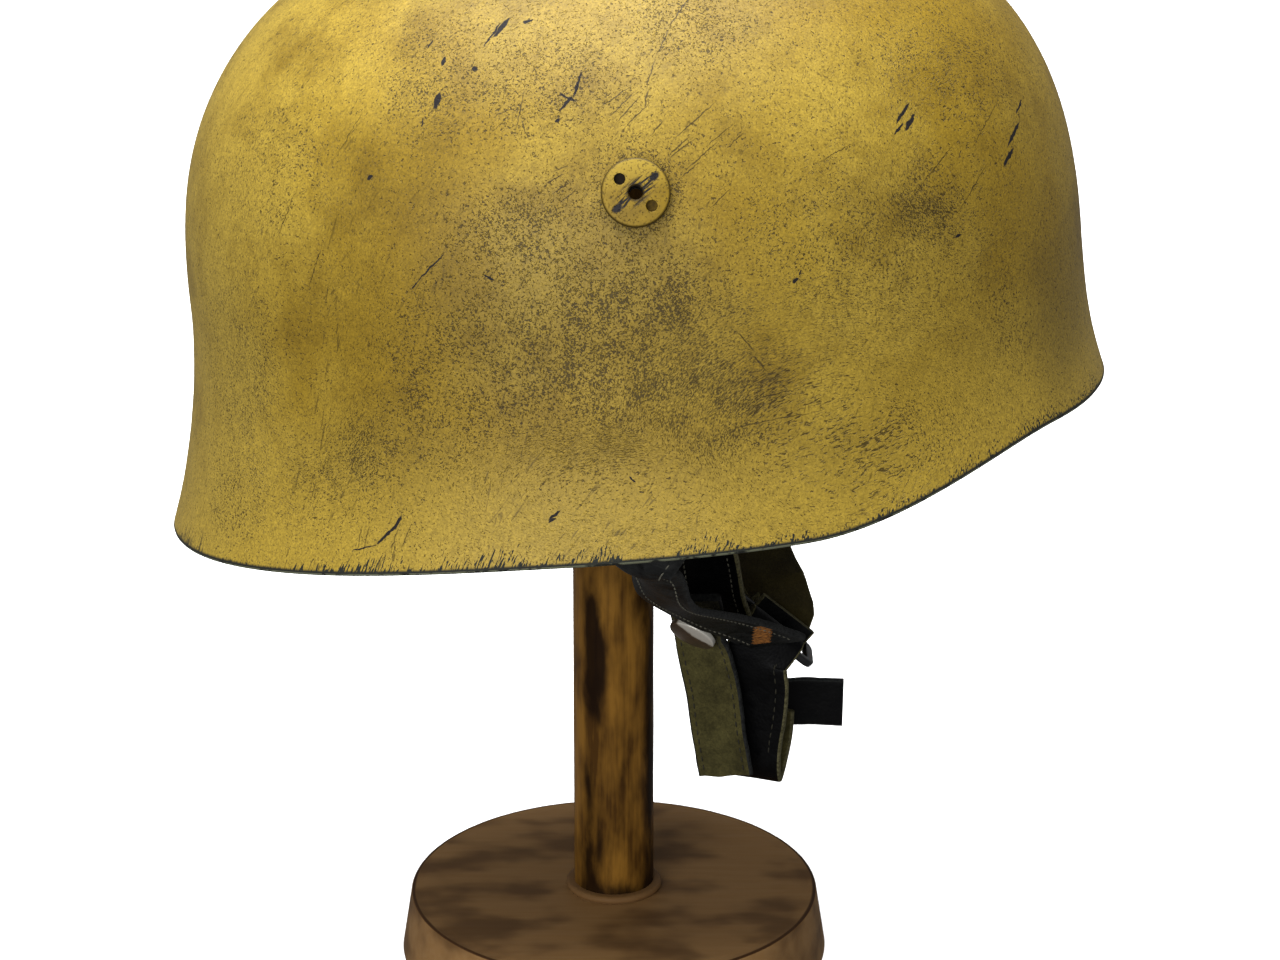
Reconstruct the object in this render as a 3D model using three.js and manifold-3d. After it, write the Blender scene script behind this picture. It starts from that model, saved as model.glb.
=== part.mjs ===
// A steel paratrooper helmet with its chin straps hanging, resting on a wooden display stand.
// Millimetres. +X is the helmet's front, +Y the wearer's left, +Z up.
// The origin is the centre of the stand's underside.

import * as THREE from 'three';
import { mergeVertices } from 'three/addons/utils/BufferGeometryUtils.js';
import Module from 'manifold-3d';

// Steel shell, in the helmet's own frame: height 0 is the rim at the side.
const SHELL = {
  frontLength: 130,
  rearLength: 129.2,
  halfWidth: 113,
  planPower: 2.06,
  crownHeight: 166.6,
  shoulderHeight: 53.9,
  domeRisePower: 2.7,
  domeClosePower: 2.21,
  wallSpread: 0.01,
  thickness: 1.4,
  columns: 60,
  domeRows: 12,
  wallRows: 7,
};

// The rim rises over the brow and drops behind. Angles are degrees from the front.
const RIM = { browLift: 14.8, browEnds: 28.2, sideStarts: 69, sideEnds: 100, napeDrop: 8, back: 180 };

// How far the rim turns outwards, and over what height.
const FLARE = {
  front: { out: 3.2, height: 26.9 },
  side: { out: 3.2, height: 38.1 },
  rear: { out: 11.1, height: 64.2 },
};

// How the helmet sits on the post.
const SEAT = { x: 11.1, y: -0.9, z: 163.6, frontUp: 5.1, rightUp: 5 };

// Spanner bolts in the sides, and the plain nuts that hold the strap ends.
const BOLT = {
  angle: 87.2,
  height: 98.2,
  headRadius: 9.2,
  headHeight: 2.6,
  headBevel: 0.8,
  headCrown: 0.4,
  shankRadius: 4,
  shankLength: 13.6,
  ventRadius: 1.9,
  spannerRadius: 1.55,
  spannerPitch: 5.5,
  spannerDepth: 1.7,
  segments: 24,
};
const NUT = { outerRadius: 7.6, height: 3.4, clearance: 1.1, segments: 24 };

// Leather straps and their lay.
const STRAP = { width: 20, thickness: 2.2, edgeThickness: 1.2, edgeBevel: 0.7, steps: 3 };
const GAP = 0.4;
const WALL_GAP = 0.9;

// Frame buckle, press stud, post and base.
const BUCKLE = {
  x: 48.3, y: 7.5, z: 101.9, slope: 39.6,
  length: 30, width: 16, bar: 3, thickness: 2.4, corner: 3.5, bevel: 0.5,
};
const STUD = { radius: 7.2, height: 2.4, lip: 0.7, neckRadius: 3, neck: 1.1, row: 2.5, segments: 28 };
const POST = { radius: 12.1, top: 326.6, topRound: 3, footRadius: 14.6, footHeight: 2.4, segments: 32 };
const BASE = { radius: 65, topRadius: 62.2, height: 20, footBevel: 1.2, segments: 64 };

const LEATHER = { color: 0x1b1a1b, roughness: 0.5, metalness: 0 };
const SUEDE = { color: 0x77714a, roughness: 0.95, metalness: 0 };

// Depths of strap layers under the shell's outer face, at the bolts.
const FIRST_LAYER = SHELL.thickness + WALL_GAP + STRAP.thickness / 2;
const SECOND_LAYER = FIRST_LAYER + STRAP.thickness + GAP;

// Each strap: rows from its hidden or upper end to its lower end.
// wall rows give the height in the helmet and the depth under the shell's outer face,
// stand rows and buckle rows give x, y and z in that frame. across is the way the width lies.
const FORE_AFT = [1, 0, 0];
const TURNED = [0.94, -0.34, 0];
const BESIDE_REAR = [0.89, -0.38, 0.25];
const BAR = BUCKLE.width / 2 - BUCKLE.bar / 2;
const ROLL = BUCKLE.bar / 2 + 0.7 + STRAP.thickness / 2;
// How far the loop and the far strap sit off the middle of their bars.
const LOOP_OFF = -1.5;
const LEFT_OFF = 1.2;
const STRAPS = [
  {
    name: 'strap_right_rear',
    side: -1,
    width: STRAP.width,
    look: LEATHER,
    rows: [
      { on: 'wall', height: BOLT.height + 11, depth: FIRST_LAYER },
      { on: 'wall', height: BOLT.height, depth: FIRST_LAYER },
      { on: 'wall', height: BOLT.height - 18, depth: FIRST_LAYER + 0.6 },
      { on: 'wall', height: 54, depth: 6 },
      { on: 'wall', height: 30, depth: 8 },
      { on: 'wall', height: 11, depth: 9.6 },
      { on: 'stand', at: [5, -106, 168] },
      { on: 'stand', at: [8.3, -95, 160.8] },
      { on: 'stand', at: [12.2, -82, 151.5] },
      { on: 'stand', at: [17, -66, 140.7] },
      { on: 'stand', at: [24.4, -46, 129.8] },
      { on: 'stand', at: [34.3, -27, 118.8] },
      { on: 'stand', at: [42.7, -15, 110] },
    ],
  },
  {
    name: 'strap_right_front',
    side: -1,
    width: STRAP.width,
    look: LEATHER,
    rows: [
      { on: 'wall', height: BOLT.height + 11, depth: SECOND_LAYER },
      { on: 'wall', height: BOLT.height, depth: SECOND_LAYER },
      { on: 'wall', height: BOLT.height - 14, depth: SECOND_LAYER + 1.5 },
      { on: 'stand', at: [11, -77, 222] },
      { on: 'stand', at: [18, -52, 181] },
      { on: 'stand', at: [26.9, -26, 140.4], across: TURNED },
      { on: 'stand', at: [29.3, -13, 122.9], across: TURNED },
      { on: 'stand', at: [31.6, -6, 113], across: TURNED },
    ],
  },
  {
    name: 'strap_left',
    side: 1,
    width: STRAP.width,
    look: LEATHER,
    rows: [
      { on: 'wall', height: BOLT.height + 11, depth: FIRST_LAYER },
      { on: 'wall', height: BOLT.height, depth: FIRST_LAYER },
      { on: 'wall', height: BOLT.height - 16, depth: FIRST_LAYER + 1.5 },
      { on: 'stand', at: [13, 100, 212] },
      { on: 'stand', at: [22, 79, 170] },
      { on: 'stand', at: [35.5, 56, 135.4] },
      { on: 'stand', at: [46, 38, 116.2] },
      { on: 'stand', at: [50.4, 25, 110.2] },
      { on: 'buckle', at: [LEFT_OFF, BAR + ROLL + 1.4, 4.5], across: 'bar' },
      { on: 'buckle', at: [LEFT_OFF, BAR + ROLL, 0], across: 'bar' },
      { on: 'buckle', at: [LEFT_OFF, BAR + ROLL * 0.7, -ROLL * 0.7], across: 'bar' },
      { on: 'buckle', at: [LEFT_OFF, BAR, -ROLL], across: 'bar' },
      { on: 'buckle', at: [LEFT_OFF, BAR - ROLL * 0.7, -ROLL * 0.7], across: 'bar' },
      { on: 'buckle', at: [LEFT_OFF, BAR - ROLL, 0], across: 'bar' },
      { on: 'buckle', at: [LEFT_OFF, BAR - ROLL, 6], across: 'bar' },
    ],
  },
  {
    name: 'strap_stud_end',
    width: 17.5,
    look: SUEDE,
    rows: [
      { on: 'stand', at: [22.7, -34.8, 129.3], across: BESIDE_REAR },
      { on: 'stand', at: [23.5, -22.2, 121.6], across: BESIDE_REAR },
      { on: 'stand', at: [24.6, -10.4, 113.4], across: [0.88, -0.38, -0.12] },
      { on: 'stand', at: [25.9, -2.6, 104.4], across: [0.87, -0.38, -0.24] },
      { on: 'stand', at: [28.2, -1.4, 94.1], across: TURNED },
      { on: 'stand', at: [30, -2.2, 86.2], across: TURNED },
      { on: 'stand', at: [31.6, -3, 73.9], across: TURNED },
      { on: 'stand', at: [34.1, -3, 58.4], across: TURNED },
    ],
  },
  {
    name: 'strap_loop',
    width: STRAP.width,
    look: LEATHER,
    rows: [
      { on: 'buckle', at: [LOOP_OFF, ROLL - BAR, -8], across: 'bar' },
      { on: 'buckle', at: [LOOP_OFF, ROLL - BAR, 0], across: 'bar' },
      { on: 'buckle', at: [LOOP_OFF, ROLL * 0.7 - BAR, ROLL * 0.7], across: 'bar' },
      { on: 'buckle', at: [LOOP_OFF, -BAR, ROLL], across: 'bar' },
      { on: 'buckle', at: [LOOP_OFF, -ROLL * 0.7 - BAR, ROLL * 0.7], across: 'bar' },
      { on: 'buckle', at: [LOOP_OFF, -ROLL - BAR, 0], across: 'bar' },
      { on: 'stand', at: [42.6, -2.3, 96.3], across: [0.9, -0.2, -0.3] },
      { on: 'stand', at: [43.2, -1, 87], across: TURNED },
      { on: 'stand', at: [42.6, 0, 78], across: TURNED },
      { on: 'stand', at: [41.4, 1, 68.2], across: TURNED },
      { on: 'stand', at: [41.2, 2, 59], across: TURNED },
      { on: 'stand', at: [41.9, 5.5, 54.8], across: TURNED },
      { on: 'stand', at: [43.2, 9, 58], across: TURNED },
      { on: 'stand', at: [45, 11, 67.1], across: TURNED },
      { on: 'stand', at: [45.5, 11, 75.4], across: TURNED },
    ],
  },
  {
    name: 'strap_tab',
    width: 15.5,
    look: LEATHER,
    rows: [
      { on: 'stand', at: [45, 16.6, 74.4], across: [0, 0, 1] },
      { on: 'stand', at: [57, 16.4, 74.4], across: [0, 0, 1] },
      { on: 'stand', at: [70.2, 16, 74.2], across: [0, 0, 1] },
    ],
  },
];

const LEFT = 1;
const RIGHT = -1;
const radians = THREE.MathUtils.degToRad;
const smooth = THREE.MathUtils.smoothstep;
const clamp = THREE.MathUtils.clamp;

const wasm = await Module();
wasm.setup();

// Shell surface: an angle is measured from the front towards the wearer's left.
function planRadius(angle) {
  const length = Math.cos(angle) >= 0 ? SHELL.frontLength : SHELL.rearLength;
  const along = Math.abs(Math.cos(angle) / length) ** SHELL.planPower;
  const beside = Math.abs(Math.sin(angle) / SHELL.halfWidth) ** SHELL.planPower;
  return (along + beside) ** (-1 / SHELL.planPower);
}

function rimHeight(angle) {
  const away = THREE.MathUtils.radToDeg(Math.acos(clamp(Math.cos(angle), -1, 1)));
  const brow = RIM.browLift * (1 - smooth(away, RIM.browEnds, RIM.sideStarts));
  return brow - RIM.napeDrop * smooth(away, RIM.sideEnds, RIM.back);
}

function flareSize(angle, key) {
  const end = Math.cos(angle) >= 0 ? FLARE.front : FLARE.rear;
  return end[key] * Math.cos(angle) ** 2 + FLARE.side[key] * Math.sin(angle) ** 2;
}

function shellPoint(angle, height) {
  const dome = clamp((height - SHELL.shoulderHeight) / (SHELL.crownHeight - SHELL.shoulderHeight), 0, 1);
  const drop = clamp((SHELL.shoulderHeight - height) / SHELL.shoulderHeight, 0, 2);
  const flareHeight = flareSize(angle, 'height');
  const turn = clamp((rimHeight(angle) + flareHeight - height) / flareHeight, 0, 1);
  const closing = (1 - dome ** SHELL.domeRisePower) ** (1 / SHELL.domeClosePower);
  const wall = planRadius(angle) * closing * (1 + SHELL.wallSpread * drop);
  const radius = wall + flareSize(angle, 'out') * turn ** 2;
  return new THREE.Vector3(radius * Math.cos(angle), radius * Math.sin(angle), height);
}

function shellNormal(angle, height) {
  const step = 0.02;
  const low = Math.min(height, SHELL.crownHeight - 2 * step);
  const round = shellPoint(angle + step, low).sub(shellPoint(angle - step, low));
  const rise = shellPoint(angle, low + step).sub(shellPoint(angle, low - step));
  return round.cross(rise).normalize();
}

// Heights of one column of the shell, from just below the crown's pole to the rim.
function columnHeights(angle) {
  const heights = [];
  for (let row = 1; row <= SHELL.domeRows; row += 1) {
    const rise = Math.cos((row / SHELL.domeRows) * Math.PI / 2) ** (2 / SHELL.domeRisePower);
    heights.push(SHELL.shoulderHeight + rise * (SHELL.crownHeight - SHELL.shoulderHeight));
  }
  for (let row = 1; row <= SHELL.wallRows; row += 1) {
    heights.push(THREE.MathUtils.lerp(SHELL.shoulderHeight, rimHeight(angle), row / SHELL.wallRows));
  }
  return heights;
}

// Closes a stack of equal rings of points into one solid, with a point in the middle of each end.
function stackRings(rings, first, last) {
  const count = rings[0].length;
  const positions = [];
  const faces = [];
  for (const point of [...rings.flat(), first, last]) {
    positions.push(point.x, point.y, point.z);
  }
  const firstIndex = rings.length * count;
  const lastIndex = firstIndex + 1;
  const lastRing = (rings.length - 1) * count;
  for (let i = 0; i < count; i += 1) {
    const next = (i + 1) % count;
    faces.push(firstIndex, next, i);
    faces.push(lastIndex, lastRing + i, lastRing + next);
    for (let ring = 0; ring < rings.length - 1; ring += 1) {
      const here = ring * count;
      const below = here + count;
      faces.push(here + i, here + next, below + i);
      faces.push(here + next, below + next, below + i);
    }
  }
  const geometry = new THREE.BufferGeometry();
  geometry.setAttribute('position', new THREE.Float32BufferAttribute(positions, 3));
  geometry.setIndex(faces);
  return geometry;
}

function solid(geometry) {
  const bare = geometry.clone();
  bare.deleteAttribute('normal');
  bare.deleteAttribute('uv');
  const merged = mergeVertices(bare, 1e-4);
  const vertProperties = new Float32Array(merged.getAttribute('position').array);
  const triVerts = new Uint32Array(merged.getIndex().array);
  return new wasm.Manifold(new wasm.Mesh({ numProp: 3, vertProperties, triVerts }));
}

function cut(geometry, tools) {
  const body = tools.reduce((rest, tool) => rest.subtract(solid(tool)), solid(geometry));
  const mesh = body.getMesh();
  const result = new THREE.BufferGeometry();
  result.setAttribute('position', new THREE.Float32BufferAttribute(mesh.vertProperties, 3));
  result.setIndex(Array.from(mesh.triVerts));
  return result;
}

function piece(name, geometry, look) {
  const mesh = new THREE.Mesh(geometry, new THREE.MeshStandardMaterial(look));
  mesh.name = name;
  return mesh;
}

// A turned solid about its own Z axis, from pairs of radius and height.
function turned(profile, segments) {
  const points = profile.map(([radius, height]) => new THREE.Vector2(radius, height));
  const geometry = new THREE.LatheGeometry(points, segments);
  geometry.rotateX(Math.PI / 2);
  return geometry;
}

function rod(radius, from, to, segments) {
  const geometry = new THREE.CylinderGeometry(radius, radius, to - from, segments);
  geometry.rotateX(Math.PI / 2);
  geometry.translate(0, 0, (from + to) / 2);
  return geometry;
}

const root = new THREE.Group();
const helmet = new THREE.Group();
helmet.position.set(SEAT.x, SEAT.y, SEAT.z);
helmet.rotation.set(-radians(SEAT.rightUp), -radians(SEAT.frontUp), 0, 'YXZ');
root.add(helmet);

// Bolt places: the local Z axis points out of the shell, local Y up along it.
function boltPlace(side) {
  const angle = side * radians(BOLT.angle);
  const out = shellNormal(angle, BOLT.height);
  const along = new THREE.Vector3(0, 0, 1).cross(out).normalize();
  const up = out.clone().cross(along);
  const place = new THREE.Group();
  place.position.copy(shellPoint(angle, BOLT.height));
  place.quaternion.setFromRotationMatrix(new THREE.Matrix4().makeBasis(along, up, out));
  helmet.add(place);
  return place;
}

const boltPlaces = { [LEFT]: boltPlace(LEFT), [RIGHT]: boltPlace(RIGHT) };
root.updateMatrixWorld(true);

// Shell: inner rings from the crown to the rim, a rounded edge, outer rings back to the crown.
function shellGeometry() {
  const angles = Array.from({ length: SHELL.columns }, (_, i) => (i / SHELL.columns) * 2 * Math.PI);
  const outer = angles.map((angle) => columnHeights(angle).map((height) => shellPoint(angle, height)));
  const normals = angles.map((angle) => columnHeights(angle).map((height) => shellNormal(angle, height)));
  const rows = SHELL.domeRows + SHELL.wallRows;
  const under = (i, row, depth) => outer[i][row].clone().addScaledVector(normals[i][row], -depth);
  const outerRings = [];
  const innerRings = [];
  for (let row = 0; row < rows; row += 1) {
    outerRings.unshift(angles.map((_, i) => under(i, row, 0)));
    innerRings.push(angles.map((_, i) => under(i, row, SHELL.thickness)));
  }
  const edge = angles.map((_, i) => under(i, rows - 1, SHELL.thickness / 2));
  edge.forEach((point) => point.setZ(point.z - SHELL.thickness / 2));
  const pole = new THREE.Vector3(0, 0, SHELL.crownHeight);
  const innerPole = pole.clone().setZ(SHELL.crownHeight - SHELL.thickness);
  return stackRings([...innerRings, edge, ...outerRings], innerPole, pole);
}

const boltHoles = [LEFT, RIGHT].map((side) => {
  const hole = rod(BOLT.shankRadius + GAP, -BOLT.shankLength, BOLT.headHeight, BOLT.segments);
  boltPlaces[side].updateMatrix();
  return hole.applyMatrix4(boltPlaces[side].matrix);
});
const shellLook = { color: 0xb18d3f, roughness: 0.55, metalness: 0.1 };
helmet.add(piece('shell', cut(shellGeometry(), boltHoles), shellLook));

// Bolts and nuts.
function boltGeometry() {
  const top = GAP + BOLT.headHeight;
  const shoulder = top - BOLT.headBevel;
  const body = turned([
    [BOLT.ventRadius, -BOLT.shankLength],
    [BOLT.shankRadius, -BOLT.shankLength],
    [BOLT.shankRadius, GAP],
    [BOLT.headRadius, GAP],
    [BOLT.headRadius, shoulder],
    [BOLT.headRadius - BOLT.headBevel, top],
    [BOLT.ventRadius, top + BOLT.headCrown],
    [BOLT.ventRadius, -BOLT.shankLength],
  ], BOLT.segments);
  const spannerHoles = [1, -1].map((end) => {
    const offset = end * BOLT.spannerPitch * Math.SQRT1_2;
    const hole = rod(BOLT.spannerRadius, top - BOLT.spannerDepth, top + BOLT.headHeight, BOLT.segments / 2);
    return hole.translate(-offset, offset, 0);
  });
  return cut(body, spannerHoles);
}

function nutGeometry(layers) {
  const near = -(SHELL.thickness + WALL_GAP + layers * (STRAP.thickness + GAP) + NUT.clearance);
  const bore = BOLT.shankRadius + GAP;
  return turned([
    [bore, near - NUT.height],
    [NUT.outerRadius, near - NUT.height],
    [NUT.outerRadius, near],
    [bore, near],
    [bore, near - NUT.height],
  ], NUT.segments);
}

const boltLook = { color: 0xa88742, roughness: 0.5, metalness: 0.2 };
const nutLook = { color: 0x55534e, roughness: 0.45, metalness: 0.9 };
for (const { side, word, layers } of [
  { side: RIGHT, word: 'right', layers: 2 },
  { side: LEFT, word: 'left', layers: 1 },
]) {
  boltPlaces[side].add(piece(`bolt_${word}`, boltGeometry(), boltLook));
  boltPlaces[side].add(piece(`nut_${word}`, nutGeometry(layers), nutLook));
}

// Buckle: its length slopes down towards the front, its width lies across the helmet.
const buckle = new THREE.Group();
buckle.position.set(BUCKLE.x, BUCKLE.y, BUCKLE.z);
buckle.rotation.set(0, radians(BUCKLE.slope), 0);
root.add(buckle);
root.updateMatrixWorld(true);

function roundedRectangle(path, length, width, corner) {
  const x = length / 2;
  const y = width / 2;
  path.moveTo(corner - x, -y);
  path.lineTo(x - corner, -y);
  path.absarc(x - corner, corner - y, corner, -Math.PI / 2, 0);
  path.lineTo(x, y - corner);
  path.absarc(x - corner, y - corner, corner, 0, Math.PI / 2);
  path.lineTo(corner - x, y);
  path.absarc(corner - x, y - corner, corner, Math.PI / 2, Math.PI);
  path.lineTo(-x, corner - y);
  path.absarc(corner - x, corner - y, corner, Math.PI, Math.PI * 1.5);
  return path;
}

function buckleGeometry() {
  const rim = BUCKLE.bevel;
  const outline = new THREE.Shape();
  roundedRectangle(outline, BUCKLE.length - 2 * rim, BUCKLE.width - 2 * rim, BUCKLE.corner - rim);
  const inside = 2 * (BUCKLE.bar - rim);
  const window = new THREE.Path();
  const windowCorner = BUCKLE.corner - BUCKLE.bar + rim;
  roundedRectangle(window, BUCKLE.length - inside, BUCKLE.width - inside, windowCorner);
  outline.holes.push(window);
  const depth = BUCKLE.thickness - 2 * rim;
  const geometry = new THREE.ExtrudeGeometry(outline, {
    depth, curveSegments: 4, bevelEnabled: true, bevelThickness: rim, bevelSize: rim, bevelSegments: 1,
  });
  return geometry.translate(0, 0, -depth / 2);
}

buckle.add(piece('buckle', buckleGeometry(), { color: 0x151517, roughness: 0.35, metalness: 0.8 }));

// Straps: flat bands with eased edges that follow their rows.
function rowPlace(row, side) {
  if (row.on === 'wall') {
    const angle = side * radians(BOLT.angle);
    const inside = shellNormal(angle, row.height).multiplyScalar(-row.depth);
    return helmet.localToWorld(shellPoint(angle, row.height).add(inside));
  }
  const point = new THREE.Vector3(...row.at);
  return row.on === 'buckle' ? buckle.localToWorld(point) : point;
}

function rowAcross(row) {
  if (row.across === 'bar') {
    return new THREE.Vector3(1, 0, 0).applyQuaternion(buckle.quaternion);
  }
  return new THREE.Vector3(...(row.across ?? FORE_AFT));
}

function strapFrames({ rows, side }) {
  const path = new THREE.CatmullRomCurve3(rows.map((row) => rowPlace(row, side)));
  const lay = new THREE.CatmullRomCurve3(rows.map(rowAcross));
  return (place) => {
    const share = place / (rows.length - 1);
    const along = path.getTangent(share);
    const across = lay.getPoint(share);
    across.addScaledVector(along, -across.dot(along)).normalize();
    return { point: path.getPoint(share), along, across, face: along.clone().cross(across) };
  };
}

function strapGeometry(strap) {
  const frameAt = strapFrames(strap);
  const half = strap.width / 2;
  const section = [
    [-half, -STRAP.edgeThickness / 2],
    [STRAP.edgeBevel - half, -STRAP.thickness / 2],
    [half - STRAP.edgeBevel, -STRAP.thickness / 2],
    [half, -STRAP.edgeThickness / 2],
    [half, STRAP.edgeThickness / 2],
    [half - STRAP.edgeBevel, STRAP.thickness / 2],
    [STRAP.edgeBevel - half, STRAP.thickness / 2],
    [-half, STRAP.edgeThickness / 2],
  ];
  const steps = (strap.rows.length - 1) * STRAP.steps;
  const rings = [];
  for (let step = 0; step <= steps; step += 1) {
    const { point, across, face } = frameAt(step / STRAP.steps);
    rings.push(section.map(([u, v]) => point.clone().addScaledVector(across, u).addScaledVector(face, v)));
  }
  return stackRings(rings, frameAt(0).point, frameAt(strap.rows.length - 1).point);
}

for (const strap of STRAPS) {
  const band = strapGeometry(strap);
  const hung = strap.rows[0].on === 'wall';
  const hole = rod(BOLT.shankRadius + GAP, -BOLT.shankLength, 0, BOLT.segments);
  const geometry = hung ? cut(band, [hole.applyMatrix4(boltPlaces[strap.side].matrixWorld)]) : band;
  root.add(piece(strap.name, geometry, strap.look));
}

// Press stud on the hanging suede end.
const studEnd = strapFrames(STRAPS.find((strap) => strap.name === 'strap_stud_end'))(STUD.row);
const stud = piece('stud', turned([
  [0, 0],
  [STUD.neckRadius, 0],
  [STUD.neckRadius, STUD.neck],
  [STUD.radius, STUD.neck],
  [STUD.radius, STUD.neck + STUD.lip],
  [STUD.radius * 0.86, STUD.neck + STUD.height * 0.66],
  [STUD.radius * 0.5, STUD.neck + STUD.height * 0.94],
  [0, STUD.neck + STUD.height],
], STUD.segments), { color: 0xd8d6d0, roughness: 0.25, metalness: 1 });
stud.position.copy(studEnd.point).addScaledVector(studEnd.face, STRAP.thickness / 2 + GAP);
stud.quaternion.setFromUnitVectors(new THREE.Vector3(0, 0, 1), studEnd.face);
root.add(stud);

// Stand: a turned base and a plain post with a small bead round its foot.
const postBottom = BASE.height + GAP / 2;
root.add(piece('stand_post', turned([
  [0, postBottom],
  [POST.footRadius, postBottom],
  [POST.footRadius, postBottom + POST.footHeight * 0.4],
  [POST.radius, postBottom + POST.footHeight],
  [POST.radius, POST.top - POST.topRound],
  [POST.radius - POST.topRound * 0.3, POST.top - POST.topRound * 0.3],
  [POST.radius - POST.topRound, POST.top],
  [0, POST.top],
], POST.segments), { color: 0xa8783f, roughness: 0.6, metalness: 0 }));

const shoulder = BASE.radius - BASE.topRadius;
root.add(piece('stand_base', turned([
  [0, 0],
  [BASE.radius - BASE.footBevel, 0],
  [BASE.radius, BASE.footBevel],
  [BASE.radius, BASE.height - shoulder],
  [BASE.radius - shoulder * 0.3, BASE.height - shoulder * 0.3],
  [BASE.topRadius, BASE.height],
  [0, BASE.height],
], BASE.segments), { color: 0x6b5a45, roughness: 0.6, metalness: 0 }));

export default root;
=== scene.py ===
"""A worn steel paratrooper helmet with its chin straps hanging, on a turned wooden stand.

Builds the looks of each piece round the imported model, in metres and in the model's own frame.
"""

import math
from functools import partial

import bmesh
import bpy
import numpy as np
from mathutils import Matrix, Vector, noise


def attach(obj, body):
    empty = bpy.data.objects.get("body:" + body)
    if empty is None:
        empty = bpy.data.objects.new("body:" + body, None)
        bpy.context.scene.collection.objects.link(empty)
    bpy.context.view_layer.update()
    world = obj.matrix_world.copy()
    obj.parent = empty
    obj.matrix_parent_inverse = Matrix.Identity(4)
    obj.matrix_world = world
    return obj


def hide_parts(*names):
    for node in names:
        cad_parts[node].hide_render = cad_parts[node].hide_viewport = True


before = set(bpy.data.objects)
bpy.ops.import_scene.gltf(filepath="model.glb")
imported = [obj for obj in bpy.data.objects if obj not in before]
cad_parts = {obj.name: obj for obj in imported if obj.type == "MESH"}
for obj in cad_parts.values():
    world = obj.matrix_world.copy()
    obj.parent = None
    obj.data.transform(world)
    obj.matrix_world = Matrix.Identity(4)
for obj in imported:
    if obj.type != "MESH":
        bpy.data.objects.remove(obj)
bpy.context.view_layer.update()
MM = 0.001

bl_info = {
    "name": "Paratrooper helmet on a stand",
    "version": (1, 0, 0),
    "blender": (4, 5, 0),
    "location": "View3D > Sidebar > Helmet",
    "description": "Builds a worn steel helmet with leather chin straps on a wooden stand",
    "category": "Object",
}


# Colours and sizes


def linear(hex_text):
    """Turns an sRGB hex colour into the linear RGBA that shaders take."""
    channels = [int(hex_text[i:i + 2], 16) / 255 for i in (1, 3, 5)]
    return [c / 12.92 if c <= 0.04045 else ((c + 0.055) / 1.055) ** 2.4 for c in channels] + [1.0]


def length(name, description, millimetres):
    return bpy.props.FloatProperty(
        name=name, description=description, default=millimetres * MM, unit="LENGTH", precision=4
    )


def turn(name, description, degrees):
    return bpy.props.FloatProperty(
        name=name, description=description, default=math.radians(degrees), unit="ROTATION"
    )


def location(name, description, *millimetres):
    return bpy.props.FloatVectorProperty(
        name=name, description=description, default=[v * MM for v in millimetres],
        subtype="TRANSLATION", unit="LENGTH",
    )


def number(name, description, value):
    return bpy.props.FloatProperty(name=name, description=description, default=value)


def colour(name, description, hex_text):
    return bpy.props.FloatVectorProperty(
        name=name, description=description, default=linear(hex_text), size=4, min=0, max=1, subtype="COLOR"
    )


class ShellSizes(bpy.types.PropertyGroup):
    """Sizes of the steel shell and how it sits on the post."""

    front_length: length("Front length", "Middle of the shell to the front of its wall", 130)
    rear_length: length("Rear length", "Middle of the shell to the back of its wall", 129.2)
    half_width: length("Half width", "Middle of the shell to either side", 113)
    plan_power: number("Plan power", "2 is an ellipse seen from above, more is squarer", 2.06)
    crown_height: length("Crown height", "Top of the crown above the side rim", 166.6)
    shoulder_height: length("Shoulder height", "Where the wall starts to close over", 53.9)
    dome_rise: number("Dome rise", "How late the dome starts to lean in", 2.7)
    dome_close: number("Dome close", "How blunt the crown is", 2.21)
    wall_spread: number("Wall spread", "How far the wall leans out below the shoulder", 0.01)
    thickness: length("Thickness", "Steel thickness", 1.4)
    brow_lift: length("Brow lift", "Rise of the rim over the brow", 14.8)
    brow_ends: turn("Brow ends", "Angle from the front where the rim starts to fall", 28.2)
    side_starts: turn("Side starts", "Angle from the front where the rim has fallen", 69)
    side_ends: turn("Side ends", "Angle from the front where the rim drops again", 100)
    nape_drop: length("Nape drop", "Drop of the rim behind", 8)
    flare_front: length("Front flare", "How far the rim turns out in front", 3.2)
    flare_side: length("Side flare", "How far the rim turns out at the sides", 3.2)
    flare_rear: length("Rear flare", "How far the rim turns out behind", 11.1)
    flare_front_height: length("Front flare height", "Height over which the front turns out", 26.9)
    flare_side_height: length("Side flare height", "Height over which the sides turn out", 38.1)
    flare_rear_height: length("Rear flare height", "Height over which the back turns out", 64.2)
    ripple: length("Ripple", "Unevenness left by pressing and repainting", 0.16)
    seat: location("Seat", "Where the shell's middle sits on the stand", 11.1, -0.9, 163.6)
    front_up: turn("Front up", "How far the front is tipped up", 5.1)
    right_up: turn("Right up", "How far the wearer's right side is tipped up", 5)


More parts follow.
